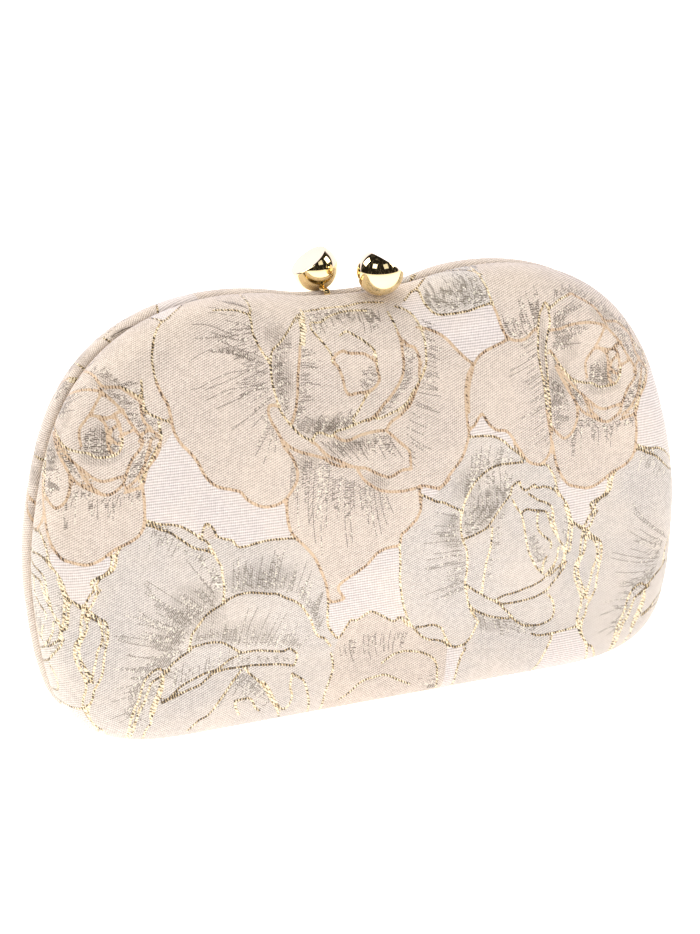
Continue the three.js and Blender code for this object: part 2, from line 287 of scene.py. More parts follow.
# smooth value noise on a plane, for unevenness of padding and cloth
def soft_noise(uv, wave, seed):
    g = np.random.default_rng(seed).uniform(-1, 1, (64, 64))
    q = uv / wave
    i = np.floor(q).astype(int)
    f = q - i
    f = f * f * (3 - 2 * f)
    a = g[i[:, 0] % 64, i[:, 1] % 64]
    b = g[(i[:, 0] + 1) % 64, i[:, 1] % 64]
    c = g[i[:, 0] % 64, (i[:, 1] + 1) % 64]
    d = g[(i[:, 0] + 1) % 64, (i[:, 1] + 1) % 64]
    return (a * (1 - f[:, 0]) + b * f[:, 0]) * (1 - f[:, 1]) + (c * (1 - f[:, 0]) + d * f[:, 0]) * f[:, 1]


# ------------------------------------------------------------------ woven rose pattern (mm on the fabric)
TILE = 156.8
# outlines woven in brown gold, then in pale gold with dark gaps
BROWN = """
-23.5,111.8 -24,108 -25,103 -25.8,98 -27,94 -28.5,90.5
-31.5,96 -33,96.5 -34.5,96.5 -35,94.5 -34.3,92 -33,89.5 -32,87 -30.5,85.3 -28.5,83.6 -26,82.3 -23,81.2 -20,80 -18,78.5 -15.5,77.2 -12,76.5 -10,76 -9.5,74.8 -8,72.2 -6,70.3 -3.5,68.6 -1,67.7 2,67.2 5,67.1 8,67.4 10,67.8 13,67 15,66.3 17,66.8 19,68.5
-23,85 -21.5,84 -20,82 -18,80.2 -15,78.5 -12,76.8 -10,76 -7,75.3 -4,73.5 -1,72 1,71.9 4,73.2 7,73.2
0.3,85.3 3,82.5 5.5,80 6.8,78.5 7,76 6.9,73.5
-16,86 -15,85 -13,84 -11,84 -8,84.8 -5,85.2 -2,85.3 0.3,85.3 2,87.2 5,88.7 8.2,91 10,93.5 12,96.8
7.3,113 7.8,110 8,107 8.2,104 7.8,101 6.8,98.8 5,96.5 2.5,94 0,92 -1.5,90.5 -3.5,89.2 -5,88.5
8.8,109.5 10,108 11.8,107.2 12.8,105 13.1,103 12.7,100.5 12.5,98
-10.5,109 -8.5,108 -6,107.7 -4,107.3 -2,106 -0.5,104.5 -0.2,102 0.1,100 -0.5,98.5 -2,97.3 -4,96.6 -7,96.6 -9.7,96.4 -10.8,98 -11.2,101 -12,104 -13,105.5 -13.8,106 -13.2,107.5 -12,108.5 -10.5,109
13.5,113 16,112.3 19,110.8 22,108.5 25,105 27.5,102.3 29.5,100.3 28,98 27,95.5 26.3,92 26,88 26,84.5 26.2,81 25.8,79.3 24.5,76 23,73.5 21,71.5 19,69.5 17.5,67.5 15.5,66
29.5,99 28.5,96.5 27.5,93.5 27,90 26.8,87
-31.5,70 -31.7,66 -31.3,62 -30.5,59.5 -29,57.5 -26.4,54.6 -24.1,51.5 -22.5,48 -20.9,44.2 -19.8,40.1 -19.5,37
-19.5,38 -18.5,36.5 -16,36.5 -14.5,37 -15.5,38.5 -16.5,41 -14,43 -10,45 -7,47 -4.5,49.5 -1,50.7 2.5,51 3.2,54 5,55.3 7.3,57.4 8.2,58.3 9.5,61 9.3,64.5 9.3,67.5
-66.8,107 -65.5,103.5 -64,100.5 -63.3,97 -63,94 -62.3,91.5 -61,89 -58.5,86 -56.5,83 -55,79.5 -53,76.8 -50.5,75.2 -47.5,74.3 -45,73.3 -43,70.8 -41,69.3 -38.5,68.2 -35,68.2 -32.5,69.2 -31,70.5 -29.5,72.5 -28.3,74.5 -28,77 -28.5,79.5 -29.5,82 -31,84 -32,86.5
53,84 53.3,81 53.8,77 54.2,74 54,72 53,70 51.5,68.5 50,67.8 48,68.3 46.5,69 45,70.5 43.5,72.8 42,75 41,77 39.5,79 38,80 36,80.3 34,81.5 32.5,83.5 31,85.8 29.5,84.5 28,82.7 26.3,82
30,100 31.5,102 34,103.5 37,104.5 39.5,105.3 41.5,106
37.7,116 38.8,113 39.8,110 41,107.5 42.5,106 45,105.3 47.5,105.5 49.5,107 51,108 51.8,107
62.5,116.5 64.5,117 66,116 68,114.8 70,113.5 72,111.8 73.5,109.5 75,107.5 78,107 80,106.5 83,104 86,101.5
55.7,107 59,107 62,107.7 66,107.9 70,107.5 73.5,106.5 74.5,106 77,103.5 79.5,100.5 81.5,97 83.5,93.8 85,91 83.8,88.5 81.8,86.5 80.2,83.5 79.5,82 77,81.5 74,81 72,81.3 70,82.5 68,84.3 66,86.2 64,88 62,90.3 60,92.7 58.5,95.5 57.5,97.8 56.5,99.5 55.3,101
67.6,91.5 67.2,94 67.5,96.5 69,98.3 70.5,99.7 73,99.3 75,98.8 77.5,98.5 78.5,97 78.8,95 79,93.3
73,99 74.5,97.5 75,95 75,92 75.2,90 76.5,88.3
78.7,96.5 77,95.8 75.8,94 76.5,92 78,91
78.5,93.2 81,94 82.8,94.8
70.5,99.8 72,102 73.5,104.3 74.5,106
80,100.3 78,99.8 76.5,98.8
57,96 58.2,93.5 59.5,91 61,88.3 62.5,86 63.8,83.5 65.5,81.5 67.5,80 70,78.6 72,77.5 74.5,77 76.5,77.8 78.5,79.3 79.5,81.5
63.5,84.5 63.7,82 63.5,79.5 62.5,77 61,75.2 59,74.3 57.3,75.3 55.5,77.3 54.3,78.5
66,86.2 67,84 68,82 69.5,80 72,77.8
79,77 82,77.6 84,78.3 84.8,80 85.5,82.5 87,84.5 88.7,86.5 89.8,89 90,91 88.5,93 87,94
85,102 85.3,98.5 86,96 87.5,94.5
84,91 85.3,93 86.8,94.3
87.5,91.5 86.8,89 85.8,86.5 85,84 83,81 81.5,79.5 79.5,78.2
84,78.3 84.3,75 84.3,71 83.8,67 82.5,64.5 80.5,63 78,62 75.5,61.2 73,59.8 70,58.3 66.5,57.8 63,58.8 60,60 58,62.3 56.5,65 55.5,68 55,71 54.5,74
"""
PALE = """
-19,122.3 -22,120.8 -25,118 -27.5,115.5 -30,113.2 -31.8,112 -32.5,110 -32.8,107 -32.9,103 -32.3,99 -31.8,96.5 -31,94 -29.5,91.5 -28,89.5 -26,87.2 -23,85.3
-21.5,121 -22,117 -22.8,114 -23.5,111.8
-22.8,85.2 -21.5,87 -20.2,87.2 -19,86.8 -17,85.8 -15,87 -12.5,87.3 -10,87.8 -7,88.5 -4,89 -1,88.8 2,89.6 5,90.5 8,92.3 9.5,94.3 11,96 12.5,97.8 14,99.8 15,102 15.3,105 15.2,109 14.7,112 14,115 13,117.3 11.5,119 9,120.5
-13.8,106 -14.2,108.5 -15.5,111 -17,113.5 -18.5,116 -18.5,118
-10.3,113.5 -8,114.5 -6,113 -4,111.5 -2.5,110 -1,108.3 -0.3,106 -0.2,103
6.2,119 6.8,116 7.3,113
-20,122.3 -15,122.7 -10,123 -5,122.9 0,123.5 6,122.5
-18,118.5 -15,118.3 -12,119.8 -8,120.8 -4,121 0,120.3
-3.5,96.3 -5,95 -6.5,93 -8.2,91 -9.3,90 -9.6,88.3 -10.2,87.7
-52,136 -54,133.5 -56.2,130.5 -58.6,128 -60.8,126 -62.1,125.2 -63.1,124.6 -64.8,121.8 -65.8,119.5 -67,115 -67.3,111 -66.8,107
-62.1,125.2 -64,127.5 -66.7,130.1 -70,132
-36,133 -36,125.5 -37,122.5 -37.2,120 -37.4,117.5 -36.5,114.5 -35,111.5 -33.5,109 -32.8,107
-47,126 -41,125 -39,124 -37,122.7
53.5,114 52.5,112.5 52,110 51.8,107 51.5,104 51.3,101 51.5,98 52,95 52.5,92 52.8,88 53,84
55.3,114.5 55.5,112 55.7,109 55,106.5 54.3,104 53.8,101 53.8,98 54,94 54,90 54.3,86 54.3,82 54.3,78
53.5,114.3 54.5,115.3 55.3,114.8
35.5,135 36,129 36.3,125 36.8,122 37,119 37.7,116
17.5,125.6 17.6,123 17.8,120.3 18.6,118 19.8,116.3 22,115.6 26,115.5 30,115.8 33,116.5 37.5,117.3
12.4,122.1 15.4,124.9 17.5,126.2 19.7,128.7 22,131.6 24,135
20,131.5 24,132.8 28,132.2 33,131 37.1,127.1
56,113.5 58,114.8 60,115.8 62.5,116.5
55,100.5 56.5,99.3 58,97 60,94.3 62,92 64,90.7 67,89.8 69.5,89.3 71.5,88 74,87.8 77,88 78.5,89.5 79.2,91.5 79,93.3
84,67 86,66.5 88,65.3 91,64 93.5,62 95.5,60.3 98,58.5 101.5,57.3 103.5,56
-71,108 -71,103 -70.5,100 -69.5,98.5 -67,97 -64,95.5
-77,107 -74,105 -71.5,103
-67,96 -66.5,93 -66.5,91 -68,88.5 -70,85 -72,81 -73,79.5
-72.3,68.3 -70,67.3 -67.5,66.5 -65,66.2 -62.5,65.3 -60,63.7 -58,62 -56.8,60.8 -55.5,60.2 -54.5,58.5 -53.5,56.5 -52.5,54 -51.5,52 -51.3,49 -51,46.5 -51.2,44 -51.5,41.8
-56.8,60.8 -56.3,63.5 -55.3,65.3 -54,64.5 -53,63 -52.5,61.5 -51,60.5 -49.5,60 -48,59.5 -47,58 -46,57.3 -44,57.3 -41,57.8 -38,58.2 -35,58.2 -32,58 -30,57.8
-82.5,59.5 -82.8,57.5 -83.3,55.8 -85,54.3 -87,53.7 -89,52.8 -89,51.5 -88,50.3 -89.5,49 -91,46.5 -91.8,44.5 -92.5,42 -92.8,39.5 -93,37 -94.5,35 -95,32.5 -94.8,30 -94,28 -93,25.5 -92.3,23.5 -92.2,21 -93,18.5 -93.3,16 -93,14 -92,11.5 -90.5,9 -89,5 -88,-2
-98.5,54 -97.3,50.5 -96.8,48 -97.2,45 -97.5,42 -98,40 -98.8,38 -99.5,35.5
-96.5,48.5 -95,47.5 -94,47 -93,45.8 -92,45.3
-92.3,43 -90.5,42.8 -89,41.8 -87.5,40.5 -86.8,38.5 -86.7,36 -87.3,34 -88.5,32 -89,29.5 -89.7,27 -90.3,24.5 -91.5,23.3 -92.3,23.3
-62,28.5 -61.5,30.5 -61,33 -59.5,35 -57.5,37.5 -55.5,39.3 -53.5,40.3 -51.3,41.3 -49.5,42.5 -47,43.3 -44,43.5 -41,43 -38,42.3 -35.5,41.9 -33,40.3 -30,38.7 -27.7,36.7 -26,34 -24.5,31.5 -23.4,28.3 -22,26 -20,24.9 -18,22.1
-62,29 -59.5,29.5 -57,29.8 -54.5,29.8 -52,29.3 -50,28 -48,26.5 -46.5,25.3 -45,24.8 -42,24.8 -39,24.3 -36,23.6 -33,23 -31,23.5 -29.5,22.5 -28.3,21 -28.8,19 -29.5,17.8 -32,18.5 -35,19.2 -38,19.6 -41,20 -44,20.3 -47,20.3 -50,20.5
-61.5,28.3 -63,27.5 -65,26.3 -67,24.8 -69,23.2 -71,24.3 -73.5,23 -75,21.3 -76,19 -77,16 -78.5,13 -79.5,10 -80,6 -80.5,0
-69.5,22 -70.3,19.5 -71.5,16.5 -73,13.5 -73.8,10.5 -73.5,7.5 -75,5 -75.5,-1
-70,14 -67.5,15 -65,17 -62,18.6 -59,19.6 -56,20.5 -53.5,20.8 -51.5,22 -49.5,23.3 -47,24
-70,13.5 -66,14.8 -62,16 -58.5,17 -56,18.7 -54,20 -50,20.5
-46,19 -47.5,17.3 -49.5,15 -51.5,12.5 -53.5,10 -55,8 -57,6.3 -59,5.5 -62,2
-45,20 -43,17.5 -41,15.5 -39,13 -37.5,10 -36,7 -34.5,4.5 -33,0
-48,10 -44,10.2 -42.5,9 -41.5,6.5 -40,5
-48,10 -47.5,7.5 -46.5,5
-30,15.5 -28,14 -26.4,12.4 -25.2,8.7 -24.5,5.1 -24,0
-30,15 -30.7,11.5 -30,8.3 -30.9,5.1 -32.3,3.7 -34.1,5.5 -35.9,8.7 -37.3,11.9 -39.1,14.6
-19.5,37 -19.3,30 -17.7,26.5 -15.5,24.2 -13.2,27.4 -11.8,29.4 -10,29 -8.2,30.1 -5.9,31.1 -4.1,30.5 -1.4,28.7 0.9,27.1 2.5,26.5 3.9,27.6 6.8,24.2
-17.7,19.6 -17,16 -17.5,13.3 -18.6,10.1 -19.5,7.4 -20,2 -20,-4
-1.4,13.7 1.8,15.5 5.5,16.2 9.1,15.5 12.7,14.2 15.5,11.9 16.6,9.2 16.8,6.9 17.5,1 18,-4
-14.5,3.7 -11.8,5.5 -8.2,8.7 -3.6,9.6 0,9.6 3.6,7.4 8.2,4.6
3,53.7 2.7,50 3,45.5 3,41.5 3.4,37.8 4.5,32.4 5.7,28.7 7.3,25 9.3,22.4 11.4,20 13.6,18.5 16.4,17.8 18.6,16.9 20.5,15
10,23.3 11.4,23 14.1,23.1 16.4,22.5 18.2,21 19.1,18.7 20.5,16 22,14.7 24.1,14.7 25.9,15.2 27.7,16.9 29.1,19.6 30,21.5
10,65.1 11.8,64 13,63.3 14.5,62.4 17.3,61.5 19.5,60.1 21.4,59 22.7,57.8 22.5,55.1 22.6,51.5 23.2,48.7 24.3,46.2 24.8,42.4 24.8,38.7 24.5,34.6 25.5,31 26.1,28.3 27.3,25.5 29.1,22.8
26.3,79.8 30,79.5 34,78.8 37.5,77 40,74.5 42.5,72.5 44.5,70.5
23,57 23.9,60.5 25.5,63.3 27.5,66 30,68 33,69.5 36.5,70 40,69.8 44,69.5
24,49.5 28,50.5 31,51.5 33,53.5 34.5,55.3 36.3,57.3 38,59 39.5,60.5 40,62.5 41.3,63.5 42.8,63.8 43,62.3 45,60.8 47.8,62 48.5,61 51.5,60.8 53.5,60 55.3,58.8 56.5,57
50,67.5 52.5,67.2 54.5,64 55.3,62 56,59 57.5,56.5 59,54.5 60,52 60.5,50 61.3,48 61,46 60.6,42 60,39.5 58.5,38.5 58.3,35 57.3,33.5 55.5,31.5 54,30 52.5,28.3 50,27 47.5,26.3 44.5,26 41,25.8 38,26
40.3,58.5 41.3,56.3 43,54 43.8,51 44.3,48 44.8,45 45.5,42 46.8,39 48.5,36 50.5,34
43,54 45,55 47,54.3 49.5,53.8 52,52.8 52.8,50.5 54,47.5 55.3,45
48.8,53 48.6,50.5 49,48 50.5,46 52.5,44.3 53.5,43 53.3,41.5
45.8,59.5 47.5,58.3 49.5,56.8 51.5,56 53.5,54.5 54.3,52.5 54.5,50 55.3,47 56,44 57.3,42 58,40 58.3,38
56,41 55.5,38 54,35.5 52.5,34 51.5,32.5 50,31.5 47.5,30.5 44.5,29.8 41,29 38,28.8 35.5,27.8 36.8,26.3
59,36 57,35.5 55,34 53,32.8
51.8,39 50.8,37.5 50.5,35
33,51.3 32.8,49 32.3,45 31.3,41.5 30.8,38 30.5,34 30.5,30.8
25,34.6 28,32 30,30.8 32.5,28.8 34.8,27.5 36.8,26 38.3,24.3 40.3,22.3 41.8,20.3 43.5,18.8 45.5,17.5 48,17.1 51,16.9 54,17.8 55.3,19.5 55.3,22 54.5,24.5 53,26.5
26.1,28.3 28,26 31,24 34,22.5 37,21.5 40,20.8
61.3,48 63,47 65,45.8 66.8,44.5 68,43 69.5,41.8 71.3,40.3 71.8,38 71.5,35 70.8,32.5 70,29 69.5,25.5 68,22.5 66.8,20.5 66.4,18 65.3,15.5 65,13 65.8,10 67.5,7.5 69.5,5.8 72,0
70.3,50 69,48.5 68,46.5 66.8,44.8 66,42 65.8,39 64.5,36.5 63.3,34 63.3,31 64.3,28.5 65.5,25.5 66.5,23
69.3,51 69.5,52.3 71.5,53.8 74,54.8 75.3,57 75.5,59 76.8,61.5
83.5,20 86.5,21.8 89,23
83.5,20 82.3,17 81,14 79.5,11.5 78,5 77,-3
87.3,21 87,18 85.5,14.5 83.5,9.5
65.3,16 63,14.3 60,13.8 55,13.5 50.5,13.5 48,14.5
55,13.5 54.5,11 53,8 50,0
25.9,13.3 24.5,11.5 23.6,8.3 23.2,5.5 22.8,-3
"""
# broad bands of cream floats
BROAD = """
-19.5,122.5 -21,119 -21.8,115.5 -22.6,112.5
"""
# patches of plain ribbed ground, then of grey twill; the rest is beige twill
GROUND = """
-62,126 -58.6,128.4 -56.4,130.6 -54,133.2 -52,140 -68,140 -66.7,131 -64,128
-63,92.5 -61,89 -58.5,86 -56.5,83 -55,79.5 -53,76.8 -50.5,75.2 -47.5,74.3 -45,73.3 -43,70.8 -41,69.3 -38.5,68.2 -35,68.2 -32.5,69.2 -31.5,70 -31.7,66 -31.3,62 -30.5,59.5 -30,57.8 -32,58 -35,58.2 -38,58.2 -41,57.8 -44,57.3 -46,57.3 -47,58 -48,59.5 -51,60.5 -52.5,61.5 -54,64.5 -55.3,65.3 -56.3,63.5 -56.8,60.8 -58,62 -60,63.7 -62.5,65.3 -65,66.2 -67.5,66.5 -70,67.3 -72.3,68.3 -72,74 -72.3,78 -71,81.5 -69.5,84.5 -67,87.5 -64.8,90.5
2.5,51 -1,50.7 -4.5,49.5 -7,47 -10,45 -14,43 -16.5,41 -15.5,38.5 -14.5,37 -16,36.5 -18.5,36.5 -19.5,37 -19.4,30 -17.7,26.5 -15.5,24.2 -13.2,27.4 -11.8,29.4 -10,29 -8.2,30.1 -5.9,31.1 -4.1,30.5 -1.4,28.7 0.9,27.1 2.5,26.5 3.9,27.6 5.7,28.2 4.5,32.4 3.4,37.8 3,41.5 3,45.5 2.7,50
11,121 12.4,122.1 15.4,124.9 17.4,126.1 17.6,123 17.8,120.3 18.6,118 19.8,116.3 22,115.6 26,115.5 30,115.8 33,116.5 37.5,117 38.8,113 39.8,110 41,107 39.5,105.3 37,104.5 34,103.5 31.5,102 30,100.2 27.5,102.3 25,105 22,108.5 19,110.8 16,112.3 14.5,113.5 13,117.3 11.5,119
57,62 60,60 63,58.8 66.5,57.8 70,58.3 73,59.8 75.5,61 75.5,57 74,54.8 71.5,53.8 69.3,52 70,50 68,46.5 66.8,45 65,45.8 61.5,48.2 60,52.5 57,57 56,60
9.3,67.5 10,68 13,66.8 15.5,66 14,64.3 12.5,63.8 10,65
26.3,81.8 28,82.7 29.5,84.5 31,85.8 32.5,83.5 34,81.5 36,80.3 38,80 39.5,79 41,77 42,75 43.5,72.8 45,70.5 44.5,70.5 42.5,72.5 40,74.5 37.5,77 34,78.8 30,79.5 26.3,80
20.5,15 22,14.7 24.1,14.7 25.9,13.3 24.5,11.5 23.6,8.3 23.2,5.5 23,-15 19.5,-15 19.5,12
55,13.5 60,13.8 63,14.3 65.2,14.5 65,13 65.8,10 67.5,7.5 69.5,5.8 72,-15 50,-15 53,8 54.5,11
"""
GREY = """
-72.3,68.3 -70,67.3 -65,66.2 -60,63.7 -56.8,60.8 -51,60.5 -47,58 -44,57.3 -38,58.2 -30.5,58 -29,57.5 -26.4,54.6 -24.1,51.5 -22.5,48 -20.9,44.2 -19.8,40.1 -19.5,37 -19.3,30 -17.7,26.5 -15.5,24.2 -17,20 -17,16 -18.6,10 -20,0 -20,-16 -88,-16 -89,5 -93,14 -93,18.5 -92.3,23.5 -94,28 -95,32.5 -93,37 -92.5,42 -91,46.5 -88,50.3 -89,52.8 -83.3,55.8 -82.5,59.5 -77,62
3,53.7 2.7,50 3,45.5 3,41.5 3.4,37.8 4.5,32.4 5.7,28.7 7.3,25 9.3,22.4 13.6,18.5 20.5,15 24.1,14.7 25.9,13.3 23.2,5.5 23,-16 50,-16 53,8 55,13.5 63,14.3 66.4,18 70,29 71.8,38 71.3,40.3 66.8,44.5 61.3,48 60,52 56,59 55.3,62 52.5,67.2 50,67.8 44.5,70.5 40,74.5 34,78.8 26.3,79.8 25,77 23,73.5 19,69.5 15.5,66 14,64.3 12.5,63.8 10,65 9.5,61 7.3,57.4
17.5,126.2 17.6,123 17.8,120.3 18.6,118 19.8,116.3 22,115.6 26,115.5 30,115.8 33,116.5 37.5,117.3 37.3,122 37.1,127.1 37,133 36,142 24,142 22,131.6 19.7,128.7
84,67 88,65.3 93.5,62 98,58.5 103.5,56 104,40 104,-16 72,-16 65.8,10 66.4,18 70,29 71.8,38 71.3,40.3 66.8,44.5 70,50 69.3,52 71.5,53.8 75.3,57 75.5,59 77.5,61.5 80.5,63 82.5,64.5
"""
# fans of fine strokes: number, shortest and longest share, then the line they start on | the line they reach to
FANS = """
24 .25 .8 : -36.5,121 -35.5,112 -33.5,108 -33,103 -33,98 -34,94 -33,89 | -57,124 -60,114 -59,104 -55,95 -48,87 -42,80 -37,76
26 .4 .9 : -31.5,113 -32.5,106 -32,99 -30,93 | -25,113 -26,104 -27.4,97 -28,94
20 .3 .8 : -23.3,112 -24.6,104 -26,97 -27.6,92.5 | -15,109 -15.5,103 -17,98 -20,93
24 .4 1.0 : -28.5,90 -23,86.5 -17,86.8 -10,88.2 | -25,96 -19,94 -12,93.5 -4,95
26 .4 1.0 : -21,85 -15,84.6 -9,84.2 -3,84.9 1.5,83.8 | -15,79 -9,76.8 -3,75.5 2,76 5.5,76.5
30 .3 1.0 : -30,80 -24,81 -18,78 -12,75 -6,70 -1,67.5 | -30.5,62 -25,56 -19,48 -12,48 -5,53 2,60
12 .2 .6 : 13,97 10,92.5 7,88 6,81 6.5,75 | 25,95 25,87 24,79 20,72 14,68
22 .4 .95 : 8.2,107 8.2,102 6,97.5 1,92.6 -4,89.2 | 13,109 14.3,103 12,97.5 6,92 0,89.5
9 .4 .9 : -0.5,104 -0.3,98.5 -5,96.8 | -7,103 -6,101 -8,101
26 .35 .95 : -19,121.5 -12,122.4 -5,122.4 4,121.5 | -17,113 -11,114.5 -5,112 2,110
18 .2 .7 : 15.3,116 15.4,108 15,101 12,97 | 22,112 24,106 23,99 20,93
24 .2 .8 : 51.8,110 51.3,104 51.3,98 52,92 52.5,86 53,80 54,74 | 42,104 37,100 35,93 36,86 40,80 44,74 48,70
24 .3 .95 : 52.5,112 51.5,108 46,105.8 42,106.5 | 54,122 49,124 43,124 38.5,119
34 .6 1.0 : 18.2,119.5 19.6,117 24,115.9 30,116.2 36,117.3 | 17.8,124 20.5,128.5 25,131 31,130.5 36.6,127
16 .4 1.0 : 20,134.5 26,134.8 32,134.5 38,133 | 21,130.5 26,131.5 32,131 37,128.5
26 .3 1.0 : 56,101 56.3,104 56,108 56.5,112 | 67,100 69,105.5 70,110 65,115.5
30 .4 1.0 : 55.5,100.8 57.5,97.6 60,94.2 62.2,91.6 64,89.5 | 58.5,92 61,88 63.5,85 65.5,82.5 68,81
20 .3 .9 : 54.3,94 54.3,88 54.4,82 55.2,77.8 | 59,90 61,86 62.5,82 61,76
22 .4 1.0 : 68,90.5 72,88.3 76,88.4 79,90.5 | 69.5,97 72.5,96 75,96 78,96
26 .15 .65 : 60,75.5 66,80.5 72,77.5 78,77.5 84,78 | 57,65 63,61 70,60.5 76,64 82,68
14 .3 .8 : 80,79 84,82 88,87.5 | 80,87 82,90 83.5,93
20 .3 .9 : 57,114.8 62,117 68,115.3 74,110.5 80,106.5 | 60,124 66,122 73,118 80,112 87,107
14 .3 .9 : 75,107 79,101 83,95 86,92 | 84,104 86,101 88,98 89,93
32 .2 .8 : -62,29 -61.3,33 -58,37.5 -54,40.5 -51.8,43 -51.6,49 | -90,36 -85,48 -76,60 -64,63 -58,60 -55,56
36 .3 .9 : -50.5,43 -44,44 -38,42.8 -31,40.2 -26,35 -22,27 | -50.5,57 -44,57 -36,57.5 -28,55 -22,45 -19.5,35
36 .25 .8 : -60.5,30.5 -54,30.2 -48,27.4 -40,25.2 -32,24 -28,22 | -58,36 -51,41 -42,42.5 -34,40 -27,35 -23,28
26 .4 1.0 : -68,16 -60,19.6 -50,21 -40,20.5 -30,19 | -66,23 -58,28 -50,27.5 -40,24 -31,22.5
26 .2 .75 : -62,28 -69,23.4 -75,20.5 -78,12 | -80,37 -89,31 -90,20 -89,6
20 .2 .8 : -80,6 -77,15 -72,21 -66,24 | -74,4 -72,12 -67,15.5 -60,19
18 .2 .8 : -47,18 -44,18.5 -40,16 -35,9 | -57,5 -52,3 -45,2 -40,4
34 .3 .95 : 23.3,57 25.5,63.3 30,68 36.5,70 44,69.5 | 24,71 28,77.5 33,78 38,76 43.5,71.5
38 .4 1.0 : 24,50 28,50.8 33,53.8 36,57.3 40,60.6 | 23.6,59 26.8,65 31,68.6 36,69.6 42,69.2
34 .2 .75 : 24.6,33 24.8,39 24.3,46 22.7,52 22.5,58 | 8,27 5,36 4.5,46 7,55 13,62
18 .15 .55 : 31,34 32,42 33,50 36,56 | 39,35 40,42 40,49 42,54
14 .3 .8 : 44.8,46 47,39.5 50.2,34.5 | 51,49 52.5,44 54,40
18 .3 .9 : 60.5,51 60.8,45 59.6,39.5 57.8,34.5 54,30.3 | 56,53 56.5,46 57.5,41 55.3,37 52.5,33
26 .3 .95 : 26.5,27 31,24.5 37,22 42,20.7 48,17.5 | 27.5,18 34,15.5 40,15 46,14 52,13
22 .25 1.0 : 97,38 94,33 92,28 90,25 | 82,53 75,43 73,31 78,23
12 .3 .9 : 88,22 84,20 82,15 80,10 | 78,27 74,22 72,14 71,8
14 .2 .7 : 86,66 91,64 97,59 102,56 | 84,57 86,54 90,50 96,46
16 .3 .8 : -16,22 -8,24 0,24 8,22 | -12,12 -6,13 0,14 6,15
12 .3 .8 : 16,8 18,2 18,-4 | 6,7 8,2 8,-3
20 .3 .9 : -72,79 -66.5,93 -69,99 -71,107 | -77,82 -74,90 -76,97 -80,104
"""
# long strokes that run on their own
TRACED = """
-44.6,130.8 -42.6,129.2 -40.4,127.9 -38.2,126.5 -36.8,124.7
-43.9,129.9 -42,128.5 -39.8,127.1 -37.6,125.6
-48.1,127.5 -46.2,126.9 -44,125.7 -41.5,124.8 -39.3,123.8
-49,125.3 -46.4,124.9 -43.9,123.7 -41.4,123.1
-54.5,122 -51.7,121.8 -49.1,120.8 -46.6,119.4 -44.2,117.9 -41,117
-49.6,119 -47.2,118 -44.5,116.8 -41.3,115.6 -37.9,114.9
-44.5,121.9 -42.1,121 -39,120 -37.7,119
-56.8,111.6 -54.4,112.9 -51.6,113.9 -48.9,114 -44.9,113 -41.5,111.5 -38.3,110.1 -34.4,108.3
-48,113.2 -44.4,112.3 -41,110.8 -37.8,109.4
-47.3,116.2 -44.7,114.8 -41.6,112.9 -38.3,111.8 -34.7,109.9
-57.1,103.8 -54.4,103.9 -51.6,105.1 -48.7,106.2 -45.3,107 -42,107.1 -38.6,107 -35.1,106
-53,100.3 -50.4,101 -46.8,102.2 -44.1,102.5 -40.1,102.6 -36.7,102.9 -34.3,102.9
-43.4,103.7 -40.5,103.9 -37.6,103.8
-43.1,100.4 -40.3,101.2 -37.5,101.3 -34.5,101.5
"""
# places where dark yarn crowds: x, z, half width, half height, turn in degrees, strength
CROWDS = """
-59,40 8 9 35 .58
-40,47 11 5 0 .6
-55,32 6 4 0 .5
-68,33 9 5 30 .32
31,57 9 6 40 .6
19,53 5 7 0 .4
25,66 6 5 50 .6
34,20 7 3 -15 .42
-29.5,105 3 8 5 .6
-18,88.5 8 3 -5 .8
-12,82.5 8 3 0 .6
-4,71 4 2.5 -20 .6
-25,80 4 4 -30 .5
57.5,91 4 7 -10 .6
73,88.5 6 3 0 .7
74,94 3.5 4 0 .55
75,109 6 3 -25 .5
-30,115 4 5 30 .6
-8,119 11 3 0 .35
53.2,98 1.5 14 0 .7
-46,32 13 5 -5 .4
27,122 9 6 0 .42
-40,127.6 4 1.2 -35 .6
-42,112 7 1.3 -22 .6
62,101 5 8 0 .3
"""


def lines_of(text):
    out = []
    for row in text.strip().splitlines():
        out.append(np.array([[float(c) for c in p.split(",")] for p in row.split()]))
    return out


def rounded(p, sub=4):
    """Catmull-Rom curve through the points."""
    if len(p) < 3:
        return p
    q = np.vstack([2 * p[0] - p[1], p, 2 * p[-1] - p[-2]])
    out = []
    for i in range(1, len(q) - 2):
        a, b, c, d = q[i - 1], q[i], q[i + 1], q[i + 2]
        for t in np.arange(sub) / sub:
            out.append(0.5 * (2 * b + (c - a) * t + (2 * a - 5 * b + 4 * c - d) * t * t
                              + (3 * b - a - 3 * c + d) * t ** 3))
    out.append(p[-1])
    return np.array(out)


def along(p, f):
    l = np.concatenate([[0], np.cumsum(np.linalg.norm(np.diff(p, axis=0), axis=1))])
    at = np.asarray(f) * l[-1]
    return np.stack([np.interp(at, l, p[:, 0]), np.interp(at, l, p[:, 1])], -1)


